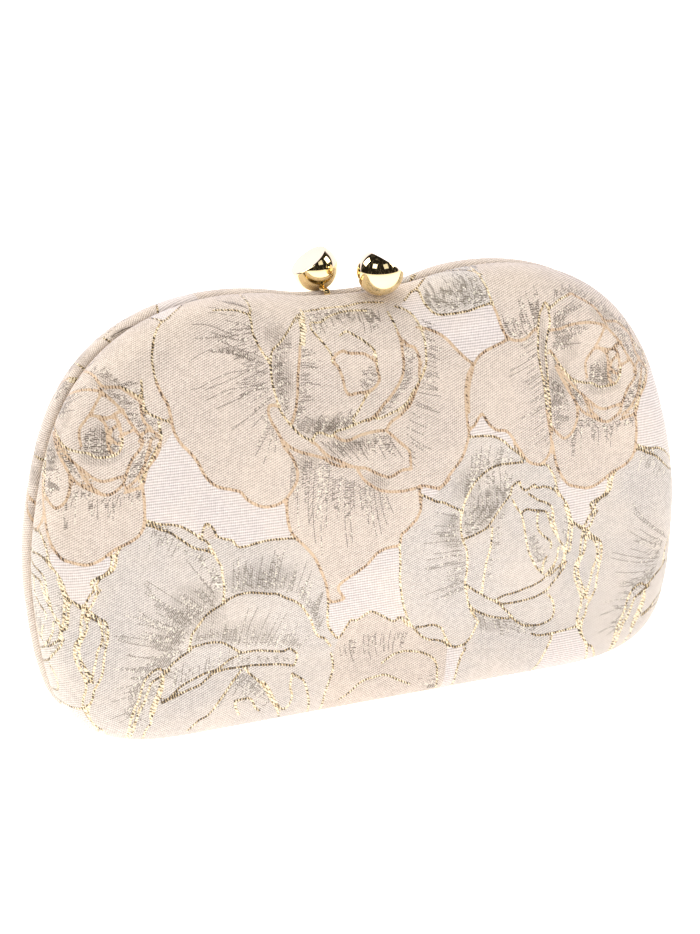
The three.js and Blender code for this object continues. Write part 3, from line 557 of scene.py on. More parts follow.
def strokes():
    g = np.random.default_rng(7)
    out, kinds = [], []
    for row in FANS.strip().splitlines():
        head, body = row.split(":")
        n, f0, f1 = head.split()
        a, b = [rounded(lines_of(part)[0], 6) for part in body.split("|")]
        n, f0, f1 = int(n), float(f0), float(f1)
        bow = g.uniform(-0.06, 0.06)
        for i in range(n):
            f = (i + 0.5 + g.uniform(-0.3, 0.3)) / n
            p, q = along(a, f), along(b, min(1, max(0, f + g.uniform(-0.02, 0.02))))
            v = q - p
            side = np.array([-v[1], v[0]])
            s, e = g.uniform(0, 0.12), f0 + (f1 - f0) * g.uniform() ** 1.4
            t = np.linspace(s, e, 5)[:, None]
            out.append(p + v * t + side * (bow + g.uniform(-0.03, 0.03)) * 4 * t * (1 - t))
            kinds.append(1.0 if g.uniform() < 0.22 else 0.0)
    for c in lines_of(TRACED):
        out.append(rounded(c))
        kinds.append(0.0)
    return out, kinds


def segments(curves, values, bare=False):
    a, b, v = [], [], []
    for c, k in zip(curves, values):
        for shift in (-2 * TILE, -TILE, 0, TILE, 2 * TILE):
            d = c + [shift, 0]
            if d[:, 0].max() < -135 or d[:, 0].min() > 135:
                continue
            if bare and shift and 78 < d[:, 0].mean() < 104 and d[:, 1].mean() < 62:
                continue
            a.append(d[:-1])
            b.append(d[1:])
            v.append(np.full(len(d) - 1, k))
    return np.vstack(a), np.vstack(b), np.concatenate(v)


def nearest(pts, seg, reach):
    """Vector to the nearest of the segments, its length, the segment's value and how level it runs."""
    a, b, val = seg
    n = len(pts)
    cell = 2.0
    lo = pts.min(0) - 1
    ij = np.floor((pts - lo) / cell).astype(int)
    nz = ij[:, 1].max() + 2
    nx = ij[:, 0].max() + 2
    key = ij[:, 0] * nz + ij[:, 1]
    order = np.argsort(key, kind="stable")
    starts = np.searchsorted(key[order], np.arange(nx * nz + 1))
    best = np.full(n, reach)
    vec = np.zeros((n, 2))
    vec[:, 0] = reach
    kind = np.zeros(n)
    level = np.zeros(n)
    lo_c = np.floor((np.minimum(a, b) - reach - lo) / cell).astype(int)
    hi_c = np.floor((np.maximum(a, b) + reach - lo) / cell).astype(int)
    for s in range(len(a)):
        x0, x1 = max(lo_c[s, 0], 0), min(hi_c[s, 0], nx - 1)
        z0, z1 = max(lo_c[s, 1], 0), min(hi_c[s, 1], nz - 1)
        if x1 < x0 or z1 < z0:
            continue
        idx = np.concatenate([order[starts[x * nz + z0]:starts[x * nz + z1 + 1]] for x in range(x0, x1 + 1)])
        if not len(idx):
            continue
        d = b[s] - a[s]
        l2 = d @ d + 1e-12
        w = pts[idx] - a[s]
        t = np.clip((w @ d) / l2, 0, 1)
        r = d * t[:, None] - w
        dist = np.hypot(r[:, 0], r[:, 1])
        hit = dist < best[idx]
        k = idx[hit]
        best[k] = dist[hit]
        vec[k] = r[hit]
        kind[k] = val[s]
        level[k] = abs(d[0]) / math.sqrt(l2)
    return vec, best, kind, level


def inside_any(pts, polys, reach=2.0):
    """Signed distance (mm, positive inside) to the union of the polygons, clipped to reach."""
    inside = np.zeros(len(pts), bool)
    curves = []
    for poly in polys:
        c = rounded(np.vstack([poly, poly[:1]]), 2)
        for shift in (-2 * TILE, -TILE, 0, TILE, 2 * TILE):
            d = c + [shift, 0]
            if d[:, 0].max() < -135 or d[:, 0].min() > 135:
                continue
            box = ((pts[:, 0] > d[:, 0].min()) & (pts[:, 0] < d[:, 0].max())
                   & (pts[:, 1] > d[:, 1].min()) & (pts[:, 1] < d[:, 1].max()))
            idx = np.nonzero(box)[0]
            if not len(idx):
                continue
            q = pts[idx]
            odd = np.zeros(len(idx), bool)
            for (xa, za), (xb, zb) in zip(d[:-1], d[1:]):
                if za == zb:
                    continue
                cross = (za > q[:, 1]) != (zb > q[:, 1])
                odd ^= cross & (q[:, 0] < (xb - xa) * (q[:, 1] - za) / (zb - za) + xa)
            inside[idx[odd]] = True
        curves.append(c)
    _, dist, _, _ = nearest(pts, segments(curves, [0.0] * len(curves)), reach)
    return np.where(inside, dist, -dist)


def crowd_field(pts):
    out = np.zeros(len(pts))
    for row in CROWDS.strip().splitlines():
        c, w, h, turn, s = row.split()
        x, z = (float(t) for t in c.split(","))
        t = math.radians(float(turn))
        for shift in (-TILE, 0, TILE):
            d = pts - [x + shift, z]
            u = (d[:, 0] * math.cos(t) + d[:, 1] * math.sin(t)) / float(w)
            v = (-d[:, 0] * math.sin(t) + d[:, 1] * math.cos(t)) / float(h)
            out = np.maximum(out, float(s) * np.exp(-(u * u + v * v) * 1.1))
    bare = smooth(np.clip((pts[:, 0] - 76) / 6, 0, 1)) * smooth(np.clip((64 - pts[:, 1]) / 6, 0, 1))
    return out * (1 - 0.85 * bare)


BROWN_C = [rounded(c) for c in lines_of(BROWN)]
PALE_C = [rounded(c) for c in lines_of(PALE)]
BROAD_C = [rounded(c) for c in lines_of(BROAD)]
OUTLINES = segments(BROWN_C + PALE_C + BROAD_C, [0.0] * len(BROWN_C) + [1.0] * len(PALE_C) + [2.0] * len(BROAD_C))
STROKES = segments(*strokes(), bare=True)
GROUND_P, GREY_P = lines_of(GROUND), lines_of(GREY)


def weave_attributes(ob, uv):
    vec, dist, kind, level = nearest(uv, OUTLINES, 2.4)
    set_vec(ob, "lin", np.stack([vec[:, 0], vec[:, 1], dist], 1))
    hvec, hdist, hkind, hlevel = nearest(uv, STROKES, 1.2)
    set_vec(ob, "hat", np.stack([hvec[:, 0], hvec[:, 1], hdist], 1))
    set_vec(ob, "knd", np.stack([kind, level, hkind], 1))
    set_vec(ob, "reg", np.stack([inside_any(uv, GROUND_P), inside_any(uv, GREY_P), crowd_field(uv)], 1))
    set_vec(ob, "fab", np.column_stack([uv, hlevel]))
    return dist


# ------------------------------------------------------------------ materials
class Nodes:
    def __init__(self, name):
        self.mat = bpy.data.materials.new(name)
        self.mat.use_nodes = True
        self.t = self.mat.node_tree
        self.t.nodes.clear()
        self.out = self.t.nodes.new("ShaderNodeOutputMaterial")
        self.bsdf = self.t.nodes.new("ShaderNodeBsdfPrincipled")
        self.t.links.new(self.bsdf.outputs[0], self.out.inputs[0])

    def put(self, socket, value):
        if isinstance(value, bpy.types.NodeSocket):
            self.t.links.new(value, socket)
        elif value is not None:
            socket.default_value = value

    def m(self, op, a, b=None, c=None, clamp=False):
        n = self.t.nodes.new("ShaderNodeMath")
        n.operation = op
        n.use_clamp = clamp
        for s, v in zip(n.inputs, (a, b, c)):
            self.put(s, v)
        return n.outputs[0]

    def v(self, op, a, b=None, scale=None):
        n = self.t.nodes.new("ShaderNodeVectorMath")
        n.operation = op
        self.put(n.inputs[0], a)
        if b is not None:
            self.put(n.inputs[1], b)
        if scale is not None:
            self.put(n.inputs["Scale"], scale)
        return n.outputs["Value"] if op in ("LENGTH", "DOT_PRODUCT", "DISTANCE") else n.outputs[0]

    def attr(self, name):
        n = self.t.nodes.new("ShaderNodeAttribute")
        n.attribute_name = name
        return n.outputs["Vector"]

    def xyz(self, vec):
        n = self.t.nodes.new("ShaderNodeSeparateXYZ")
        self.put(n.inputs[0], vec)
        return n.outputs[0], n.outputs[1], n.outputs[2]

    def vec(self, x, y, z=0.0):
        n = self.t.nodes.new("ShaderNodeCombineXYZ")
        for s, v in zip(n.inputs, (x, y, z)):
            self.put(s, v)
        return n.outputs[0]

    def mix(self, f, a, b):
        n = self.t.nodes.new("ShaderNodeMix")
        n.data_type = "RGBA"
        n.clamp_factor = True
        self.put(n.inputs["Factor"], f)
        ins = [s for s in n.inputs if s.type == "RGBA"]
        self.put(ins[0], a)
        self.put(ins[1], b)
        return [s for s in n.outputs if s.type == "RGBA"][0]

    def mixf(self, f, a, b):
        n = self.t.nodes.new("ShaderNodeMix")
        n.data_type = "FLOAT"
        n.clamp_factor = True
        self.put(n.inputs[0], f)
        self.put(n.inputs[2], a)
        self.put(n.inputs[3], b)
        return n.outputs[0]

    def step(self, x, lo, hi):
        n = self.t.nodes.new("ShaderNodeMapRange")
        n.interpolation_type = "SMOOTHSTEP"
        self.put(n.inputs["Value"], x)
        n.inputs["From Min"].default_value = lo
        n.inputs["From Max"].default_value = hi
        n.inputs["To Min"].default_value = 0
        n.inputs["To Max"].default_value = 1
        return n.outputs[0]

    def noise(self, vec, scale, detail=2.0, rough=0.5):
        n = self.t.nodes.new("ShaderNodeTexNoise")
        self.put(n.inputs["Vector"], vec)
        n.inputs["Scale"].default_value = scale
        n.inputs["Detail"].default_value = detail
        n.inputs["Roughness"].default_value = rough
        return n.outputs[0]

    def white(self, vec):
        n = self.t.nodes.new("ShaderNodeTexWhiteNoise")
        n.noise_dimensions = "3D"
        self.put(n.inputs["Vector"], vec)
        return n.outputs["Value"]

    def obj(self):
        return self.t.nodes.new("ShaderNodeTexCoord").outputs["Object"]

    def bump(self, height, distance, strength=1.0):
        n = self.t.nodes.new("ShaderNodeBump")
        n.inputs["Strength"].default_value = strength
        n.inputs["Distance"].default_value = distance
        self.put(n.inputs["Height"], height)
        self.t.links.new(n.outputs[0], self.bsdf.inputs["Normal"])

    def wave(self, phase):
        """0..1 wave with period 1."""
        return self.m("MULTIPLY_ADD", self.m("SINE", self.m("MULTIPLY", phase, TAU)), 0.5, 0.5)


def srgb(r, g, b):
    def lin(c):
        c /= 255
        return c / 12.92 if c <= 0.04045 else ((c + 0.055) / 1.055) ** 2.4
    return (lin(r), lin(g), lin(b), 1.0)


def brocade():
    n = Nodes("rose_brocade")
    u, v, hlevel = n.xyz(n.attr("fab"))
    fab = n.vec(u, v)
    lx, lz, ld = n.xyz(n.attr("lin"))
    hx, hz, hd = n.xyz(n.attr("hat"))
    kind, level, hkind = n.xyz(n.attr("knd"))
    sg, sy, crowd = n.xyz(n.attr("reg"))
    wob = n.m("MULTIPLY_ADD", n.noise(fab, 0.5, 2), 0.5, -0.25)
    # twill floats and plain ribs
    across = n.m("ADD", n.m("MULTIPLY_ADD", u, -0.375 / 0.68, n.m("MULTIPLY", v, 0.927 / 0.68)), wob)
    length = n.m("MULTIPLY_ADD", u, 0.927 / 0.74, n.m("MULTIPLY", v, 0.375 / 0.74))
    row_t = n.m("FLOOR", across)
    twill = n.wave(across)
    floats = n.wave(n.m("MULTIPLY_ADD", row_t, 0.5, n.m("MULTIPLY_ADD", wob, 0.6, length)))
    lattice = n.m("MULTIPLY", twill, floats)
    ribs = n.wave(n.m("ADD", n.m("MULTIPLY", v, 1 / 0.8), n.m("MULTIPLY", wob, 0.6)))
    fine = n.wave(n.m("MULTIPLY", u, 1 / 0.55))
    patch = n.noise(fab, 0.045, 3)
    thread = n.white(n.vec(n.m("FLOOR", n.m("MULTIPLY_ADD", row_t, 0.41, length)), row_t))
    bead = n.white(n.vec(n.m("FLOOR", n.m("MULTIPLY", u, 1 / 0.55)), n.m("FLOOR", n.m("MULTIPLY", v, 1 / 0.8)), 7.0))
    tw = n.m("ADD", n.m("MULTIPLY", twill, 0.50), n.m("ADD", n.m("MULTIPLY", floats, 0.32), n.m("MULTIPLY", thread, 0.18)))
    rb = n.m("ADD", n.m("MULTIPLY", ribs, 0.56), n.m("ADD", n.m("MULTIPLY", fine, 0.28), n.m("MULTIPLY", bead, 0.16)))
    beige = n.mix(tw, srgb(131, 116, 106), srgb(249, 237, 230))
    grey = n.mix(tw, srgb(131, 123, 121), srgb(243, 236, 233))
    plain = n.mix(rb, srgb(158, 149, 152), srgb(248, 240, 240))
    is_grey = n.step(sy, -0.15, 0.15)
    is_plain = n.step(sg, -0.15, 0.15)
    cloth = n.mix(is_plain, n.mix(is_grey, beige, grey), plain)
    cloth = n.mix(n.m("MULTIPLY", n.step(patch, 0.35, 0.7), 0.22), cloth, srgb(246, 229, 214))
    # woven outlines: twisted cream, brown and near black floats
    broad = n.step(kind, 1.4, 1.6)
    slim = n.step(kind, 0.3, 0.7)
    width = n.m("MULTIPLY_ADD", broad, 0.62, n.m("MULTIPLY_ADD", n.noise(fab, 0.7, 1), 0.26, n.mixf(slim, 0.31, 0.22)))
    off = n.m("MAXIMUM", n.v("LENGTH", n.vec(lx, lz)), n.m("SUBTRACT", ld, 0.3))
    line = n.m("SUBTRACT", 1.0, n.step(n.m("SUBTRACT", off, width), -0.08, 0.08))
    jit = n.m("MULTIPLY_ADD", n.noise(fab, 1.1, 1), 1.8, -0.9)
    tick_u = n.wave(n.m("ADD", n.m("MULTIPLY_ADD", u, 1 / 0.86, n.m("MULTIPLY", v, 0.25)), n.m("MULTIPLY", jit, 0.6)))
    tick_v = n.wave(n.m("ADD", n.m("MULTIPLY_ADD", u, 0.6, n.m("MULTIPLY", v, 1 / 1.15)), jit))
    tick = n.mixf(n.step(level, 0.35, 0.75), tick_v, tick_u)
    cell = n.white(n.vec(n.m("FLOOR", n.m("MULTIPLY", u, 1 / 0.75)), n.m("FLOOR", n.m("MULTIPLY", v, 1 / 0.95)), 3.0))
    shade = n.m("ADD", tick, n.m("MULTIPLY_ADD", cell, 0.7, -0.35))
    shade = n.m("ADD", shade, n.m("MULTIPLY", broad, 0.3))
    # on the grey roses the level runs turn dark and the steep ones cream; the tan outlines darken only in places
    turn = n.mixf(is_grey, -0.14, n.m("MULTIPLY_ADD", n.step(level, 0.45, 0.85), -0.6, 0.14))
    shade = n.m("ADD", shade, n.mixf(slim, n.m("MULTIPLY_ADD", n.noise(fab, 0.16, 1), 1.7, -0.66), turn))
    low, high = n.step(shade, 0.06, 0.3), n.step(shade, 0.42, 0.82)
    brown = n.mix(low, srgb(74, 54, 38), n.mix(high, srgb(184, 154, 126), srgb(214, 190, 164)))
    pale = n.mix(low, srgb(62, 48, 32), n.mix(high, srgb(204, 178, 138), srgb(250, 238, 212)))
    is_pale = n.step(n.m("ADD", kind, n.m("MULTIPLY_ADD", n.noise(fab, 0.08, 1), 0.5, -0.25)), 0.4, 0.6)
    colour_line = n.mix(is_pale, brown, pale)
    # fine strokes of black and silver yarn, in short floats; the near white floats among them, picked at random and
    # more often on some strokes, are painted glints of the silver yarn
    hoff = n.m("MAXIMUM", n.v("LENGTH", n.vec(hx, hz)), n.m("SUBTRACT", hd, 0.3))
    stroke = n.m("SUBTRACT", 1.0, n.step(hoff, 0.07, 0.2))
    row = n.m("FLOOR", n.m("MULTIPLY", v, 1 / 0.46))
    col = n.m("MULTIPLY_ADD", u, 1 / 0.54, n.m("MULTIPLY", row, 0.42))
    steep = n.wave(n.m("MULTIPLY_ADD", v, 1 / 0.52, n.m("MULTIPLY_ADD", u, 0.35, wob)))
    dash = n.mixf(n.step(hlevel, 0.4, 0.7), n.step(steep, 0.2, 0.42), n.step(n.wave(col), 0.22, 0.46))
    yarn = n.white(n.vec(n.m("FLOOR", col), row, 1.0))
    # crowded dark yarn shows as dots between the floats, larger where it is denser
    dense = n.m("MULTIPLY", crowd, n.m("MULTIPLY_ADD", n.noise(fab, 0.22, 2), 0.9, 0.5))
    size = n.m("MULTIPLY_ADD", dense, 0.98, -0.92)
    dot = n.step(n.m("ADD", lattice, size), -0.07, 0.07)
    crowd_dot = n.m("MULTIPLY", n.m("MULTIPLY", dot, n.step(dense, 0.14, 0.24)), n.m("LESS_THAN", yarn, 0.95))
    crowd_dot = n.m("MULTIPLY", crowd_dot, n.m("SUBTRACT", 1.0, is_plain))
    hatch = n.m("MULTIPLY", stroke, dash)
    yarn_glint_pick = n.white(n.vec(n.m("FLOOR", col), row, 5.0))
    dark_yarn = n.mix(is_grey, srgb(74, 62, 48), srgb(104, 95, 82))
    # painted glints: random floats of the strokes are coloured near white instead of dark yarn
    yarn_and_glints = n.mix(n.step(n.m("MULTIPLY_ADD", hkind, 0.4, yarn_glint_pick), 0.91, 0.97), dark_yarn, srgb(248, 242, 228))
    base = n.mix(n.m("MULTIPLY", crowd_dot, 0.86), cloth, dark_yarn)
    base = n.mix(n.m("MULTIPLY", hatch, 0.94), base, yarn_and_glints)
    hatch = n.m("MAXIMUM", hatch, crowd_dot)
    base = n.mix(line, base, colour_line)
    n.put(n.bsdf.inputs["Base Color"], base)
    n.put(n.bsdf.inputs["Metallic"], n.m("MULTIPLY", line, n.m("MULTIPLY", high, 0.25)))
    n.put(n.bsdf.inputs["Roughness"], n.mixf(n.m("MAXIMUM", line, hatch), n.mixf(tw, 0.62, 0.5), 0.36))
    n.bsdf.inputs["Sheen Weight"].default_value = 0.25
    n.bsdf.inputs["Sheen Roughness"].default_value = 0.4
    n.bsdf.inputs["Specular IOR Level"].default_value = 0.5
    ground_h = n.m("MULTIPLY", rb, 0.5)
    h = n.mixf(is_plain, n.m("MULTIPLY", tw, 0.8), ground_h)
    h = n.m("ADD", h, n.m("MULTIPLY", line, n.m("MULTIPLY_ADD", tick, 0.6, 1.0)))
    h = n.m("ADD", h, n.m("MULTIPLY", hatch, 0.5))
    n.bump(h, 0.00009, 0.9)
    return n.mat


def metal(name, light, dark, rough, brush=0.0, brush_scale=900):
    n = Nodes(name)
    p = n.obj()
    cloud = n.noise(p, 60, 3)
    n.put(n.bsdf.inputs["Base Color"], n.mix(n.step(cloud, 0.3, 0.75), light, dark))
    n.bsdf.inputs["Metallic"].default_value = 1.0
    fine = n.noise(p, brush_scale, 4, 0.6)
    n.put(n.bsdf.inputs["Roughness"], n.m("MULTIPLY_ADD", fine, rough * 0.5, rough * 0.75))
    if brush:
        n.bump(n.noise(n.v("MULTIPLY", p, (1.0, 0.06, 1.0)), brush_scale, 3), 0.00002, brush)
    else:
        n.bump(fine, 0.000004, 0.25)
    return n.mat


def satin():
    n = Nodes("satin")
    u, v, e = n.xyz(n.attr("fab"))
    fab = n.vec(u, v)
    warp = n.wave(n.m("MULTIPLY", u, 1 / 0.3))
    weft = n.wave(n.m("MULTIPLY", v, 1 / 0.9))
    slub = n.noise(n.v("MULTIPLY", fab, (0.6, 0.05, 1.0)), 2.0, 3)
    t = n.m("ADD", n.m("MULTIPLY", warp, 0.3), n.m("ADD", n.m("MULTIPLY", weft, 0.2), n.m("MULTIPLY", slub, 0.5)))
    n.put(n.bsdf.inputs["Base Color"], n.mix(t, srgb(196, 172, 138), srgb(234, 216, 186)))
    n.put(n.bsdf.inputs["Roughness"], n.m("MULTIPLY_ADD", t, 0.15, 0.28))
    n.bsdf.inputs["Sheen Weight"].default_value = 0.3
    n.bsdf.inputs["Anisotropic"].default_value = 0.5
    n.bump(t, 0.00003, 0.6)
    return n.mat


def foam():
    n = Nodes("foam")
    p = n.obj()
    cell = n.noise(p, 900, 4, 0.7)
    n.put(n.bsdf.inputs["Base Color"], n.mix(cell, srgb(222, 216, 200), srgb(247, 244, 234)))
    n.put(n.bsdf.inputs["Roughness"], n.m("MULTIPLY_ADD", cell, 0.1, 0.88))
    n.bump(cell, 0.0003, 0.8)
    return n.mat


def board():
    n = Nodes("shell_board")
    p = n.obj()
    fleck = n.noise(p, 420, 4, 0.7)
    fibre = n.noise(n.v("MULTIPLY", p, (1.0, 1.0, 0.15)), 700, 3)
    n.put(n.bsdf.inputs["Base Color"], n.mix(n.m("MULTIPLY", fleck, fibre), srgb(206, 198, 180), srgb(240, 236, 224)))
    n.put(n.bsdf.inputs["Roughness"], n.m("MULTIPLY_ADD", fibre, 0.15, 0.55))
    n.bump(fleck, 0.0001, 0.5)
    return n.mat


M_BROCADE = brocade()
M_KNOB = metal("polished_gold", (0.97, 0.80, 0.47, 1), (0.95, 0.76, 0.41, 1), 0.05)
M_GOLD = metal("brushed_gold", (0.90, 0.71, 0.38, 1), (0.84, 0.63, 0.30, 1), 0.2, 0.35)
M_SATIN = satin()
M_FOAM = foam()
M_BOARD = board()


def paint(ob, mat):
    ob.data.materials.clear()
    ob.data.materials.append(mat)


# ------------------------------------------------------------------ cloth covers
RING_N, EDGE_ROWS, FACE_STEPS = ((800, 42, 118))
for half, side in (("front", -1), ("rear", 1)):
    verts, faces, uv, edge_t = half_shell(side, RING_N, EDGE_ROWS, FACE_STEPS,
                                          extra=[(0.5, 1.47), (1.1, 1.45), (1.7, 1.45)])
    fab = uv if side < 0 else np.stack([-uv[:, 0] + 41.0, uv[:, 1]], 1)
    cover = add_mesh(f"{half}_brocade_cover", verts, faces)
    dist = weave_attributes(cover, fab)
    # the padding is a little uneven and the woven outlines draw the cloth in
    me = cover.data
    nor = np.zeros(len(me.vertices) * 3, np.float32)
    me.vertices.foreach_get("normal", nor)
    nor = nor.reshape(-1, 3)
    fade = np.clip(1 - edge_t * 1.25, 0, 1)
    lift = 0.16 * soft_noise(fab, 19.0, 3) + 0.07 * soft_noise(fab, 7.0, 5)
    lift = lift * fade - 0.11 * np.exp(-(dist / 0.8) ** 2) * np.clip(2 - edge_t * 2, 0, 1)
    co = np.asarray(verts) + nor * lift[:, None]
    me.vertices.foreach_set("co", (co * MM).astype(np.float32).ravel())
    me.update()
    paint(cover, M_BROCADE)
    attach(cover, f"{half}_half")
    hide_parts(f"{half}_cover")
    area = area_of(cover)
    print("cover", half, len(verts), len(faces), "area", area)

# ------------------------------------------------------------------ padding under the cloth
for half, side in (("front", -1), ("rear", 1)):
    a, fa, _, _ = half_shell(side, 184, 9, 16, off=0.8, rolled=False, y_end=4.5)
    b, fb, _, _ = half_shell(side, 184, 9, 16, off=2.2, rolled=False, y_end=4.5)
    n = len(a)
    faces = list(fa) + [tuple(reversed([i + n for i in f])) for f in fb]
    rim_a = np.arange(184) + 184 * 8
    for i in range(184):
        j = (i + 1) % 184
        q = (rim_a[i], rim_a[i] + n, rim_a[j] + n, rim_a[j])
        faces.append(q if side < 0 else tuple(reversed(q)))
    pad = add_mesh(f"{half}_foam_pad", np.vstack([a, b]), faces)
    paint(pad, M_FOAM)
    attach(pad, f"{half}_half")
    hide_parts(f"{half}_padding")

# ------------------------------------------------------------------ satin linings
for half, side in (("front", -1), ("rear", 1)):
    verts, faces, uv, edge_t = half_shell(side, 480, 22, 56, off=4.35, rolled=False, y_end=8.9)
    faces = [tuple(reversed(f)) for f in faces]          # it shows from inside the bag
    ang = np.arctan2(uv[:, 1] - FACE_Z, uv[:, 0])
    lining = add_mesh(f"{half}_satin_lining", verts, faces)
    me = lining.data
    nor = np.zeros(len(me.vertices) * 3, np.float32)
    me.vertices.foreach_get("normal", nor)
    nor = nor.reshape(-1, 3)
    drape = 0.62 + 0.2 * soft_noise(uv, 24.0, 11)
    drape += 0.12 * soft_noise(np.stack([uv[:, 0] * 0.5, uv[:, 1] * 2], 1), 22.0, 13)
    drape *= 1 - 0.6 * np.clip(edge_t, 0, 1) ** 3
    pucker = drape + 0.12 * edge_t * np.sin(ang * 92 + 1.5 * np.sin(ang * 7))
    co = np.asarray(verts) + nor * pucker[:, None]
    me.vertices.foreach_set("co", (co * MM).astype(np.float32).ravel())
    me.update()
    set_vec(lining, "fab", uv)
    paint(lining, M_SATIN)
    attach(lining, f"{half}_half")
    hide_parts(f"{half}_lining")
    print("lining", half, area_of(lining))

# ------------------------------------------------------------------ gold frames
HINGE_X, HINGE_CUT = 55.0, 5.9
KNOB_MID_X, KNOB_DX, ARM_CUT = -1.0, 6.85, 2.0


def frame_mesh(name, side, m=760):
    p, inw = ring_points(m)
    flat, pw = section_of(p)
    y4 = flat + (SIDE_DEPTH - flat) * math.sin(math.radians(28)) ** (2 / pw)
    own_x = KNOB_MID_X + KNOB_DX * (-1 if side < 0 else 1)
    rows = 10
    secs = []
    for i in range(m):
        y = np.linspace(1.3, y4[i], rows)
        e = 0.02
        d = inset_at(y, flat[i], pw[i])
        s = (inset_at(y + e, flat[i], pw[i]) - inset_at(y - e, flat[i], pw[i])) / (2 * e)
        s[0] = 0.0
        l = np.hypot(1, s)
        outer = np.stack([d + 4.0 / l, y - 4.0 * s / l], 1)
        inner = np.stack([d + 5.2 / l, y - 5.2 * s / l], 1)
        sec = [(2.25, 0.15), (5.0, 0.15), (5.2, 0.35), *[tuple(q) for q in inner[:-1]],
               (inner[-1][0] - 0.12, inner[-1][1] + 0.0), tuple(outer[-1]),
               *[tuple(q) for q in outer[-2:0:-1]], (4.0, 1.3), (2.25, 1.3), (2.0, 1.2), (1.9, 0.95), (1.9, 0.5), (2.0, 0.25)]
        sec = np.array(sec)
        cut = (p[i, 1] < 3 and abs(abs(p[i, 0]) - HINGE_X) < HINGE_CUT) or (
            p[i, 1] > 100 and abs(p[i, 0] - own_x) < ARM_CUT)
        if cut:
            low = sec[:, 1] < 1.66
            sec[low, 0] = np.clip(sec[low, 0], 4.0, 5.2)
            sec[:, 1] = np.maximum(sec[:, 1], 1.66)
        secs.append(sec)
    k = len(secs[0])
    verts = []
    for i in range(m):
        q = p[i] + inw[i] * secs[i][:, :1]
        verts.append(np.stack([q[:, 0], side * secs[i][:, 1], q[:, 1]], 1))
    faces = []
    for i in range(m):
        j = (i + 1) % m
        for a in range(k):
            b = (a + 1) % k
            f = (i * k + a, i * k + b, j * k + b, j * k + a)
            faces.append(f if side > 0 else tuple(reversed(f)))
    ob = add_mesh(name, np.vstack(verts), faces)
    ob.data.set_sharp_from_angle(angle=math.radians(40))
    return ob


for half, side in (("front", -1), ("rear", 1)):
    rim = frame_mesh(f"{half}_gold_frame", side)
    paint(rim, M_GOLD)
    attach(rim, f"{half}_half")
    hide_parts(f"{half}_frame")

# ------------------------------------------------------------------ kiss lock balls
KNOB_R, KNOB_FLAT, KNOB_TILT, KNOB_Z, KNOB_Y = 6.8, 3.35, math.radians(36), 128.3, 7.8


def ball(name, centre, axis):
    prof = []
    rho = 0.55
    hc = KNOB_FLAT - rho
    rc = math.sqrt((KNOB_R - rho) ** 2 - hc * hc)
    phi = math.atan2(rc, hc)
    for t in np.linspace(math.pi, phi, 56):
        prof.append((KNOB_R * math.sin(t), KNOB_R * math.cos(t)))
    for t in np.linspace(phi, 0, 10)[1:]:
        prof.append((rc + rho * math.sin(t), hc + rho * math.cos(t)))
    for f in np.linspace(1, 0, 10)[1:]:
        prof.append((rc * f, KNOB_FLAT + 0.05 * (1 - f * f)))
    n = 112
    ax = np.array(axis)
    e1 = np.cross(ax, [0, 1, 0])
    e1 /= np.linalg.norm(e1)
    e2 = np.cross(ax, e1)
    verts, faces, rings = [], [], []
    for r, h in prof:
        if r < 1e-6:
            rings.append([len(verts)])
            verts.append(np.array(centre) + ax * h)
            continue
        rings.append(list(range(len(verts), len(verts) + n)))
        for i in range(n):
            a = TAU * i / n
            verts.append(np.array(centre) + ax * h + (e1 * math.cos(a) + e2 * math.sin(a)) * r)
    for a, b in zip(rings[:-1], rings[1:]):
        for i in range(n):
            j = (i + 1) % n
            if len(a) == 1:
                faces.append((a[0], b[j], b[i]))
            elif len(b) == 1:
                faces.append((a[i], a[j], b[0]))
            else:
                faces.append((a[i], a[j], b[j], b[i]))
    return add_mesh(name, np.array(verts), faces)


for name, half, s in (("left", -1, -1), ("right", 1, 1)):
    x = KNOB_MID_X + s * KNOB_DX
    knob = ball(f"{name}_ball", (x, -half * KNOB_Y, KNOB_Z), (s * math.sin(KNOB_TILT), 0, math.cos(KNOB_TILT)))
    paint(knob, M_KNOB)
    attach(knob, f"{name}_latch")
    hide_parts(f"{name}_knob")

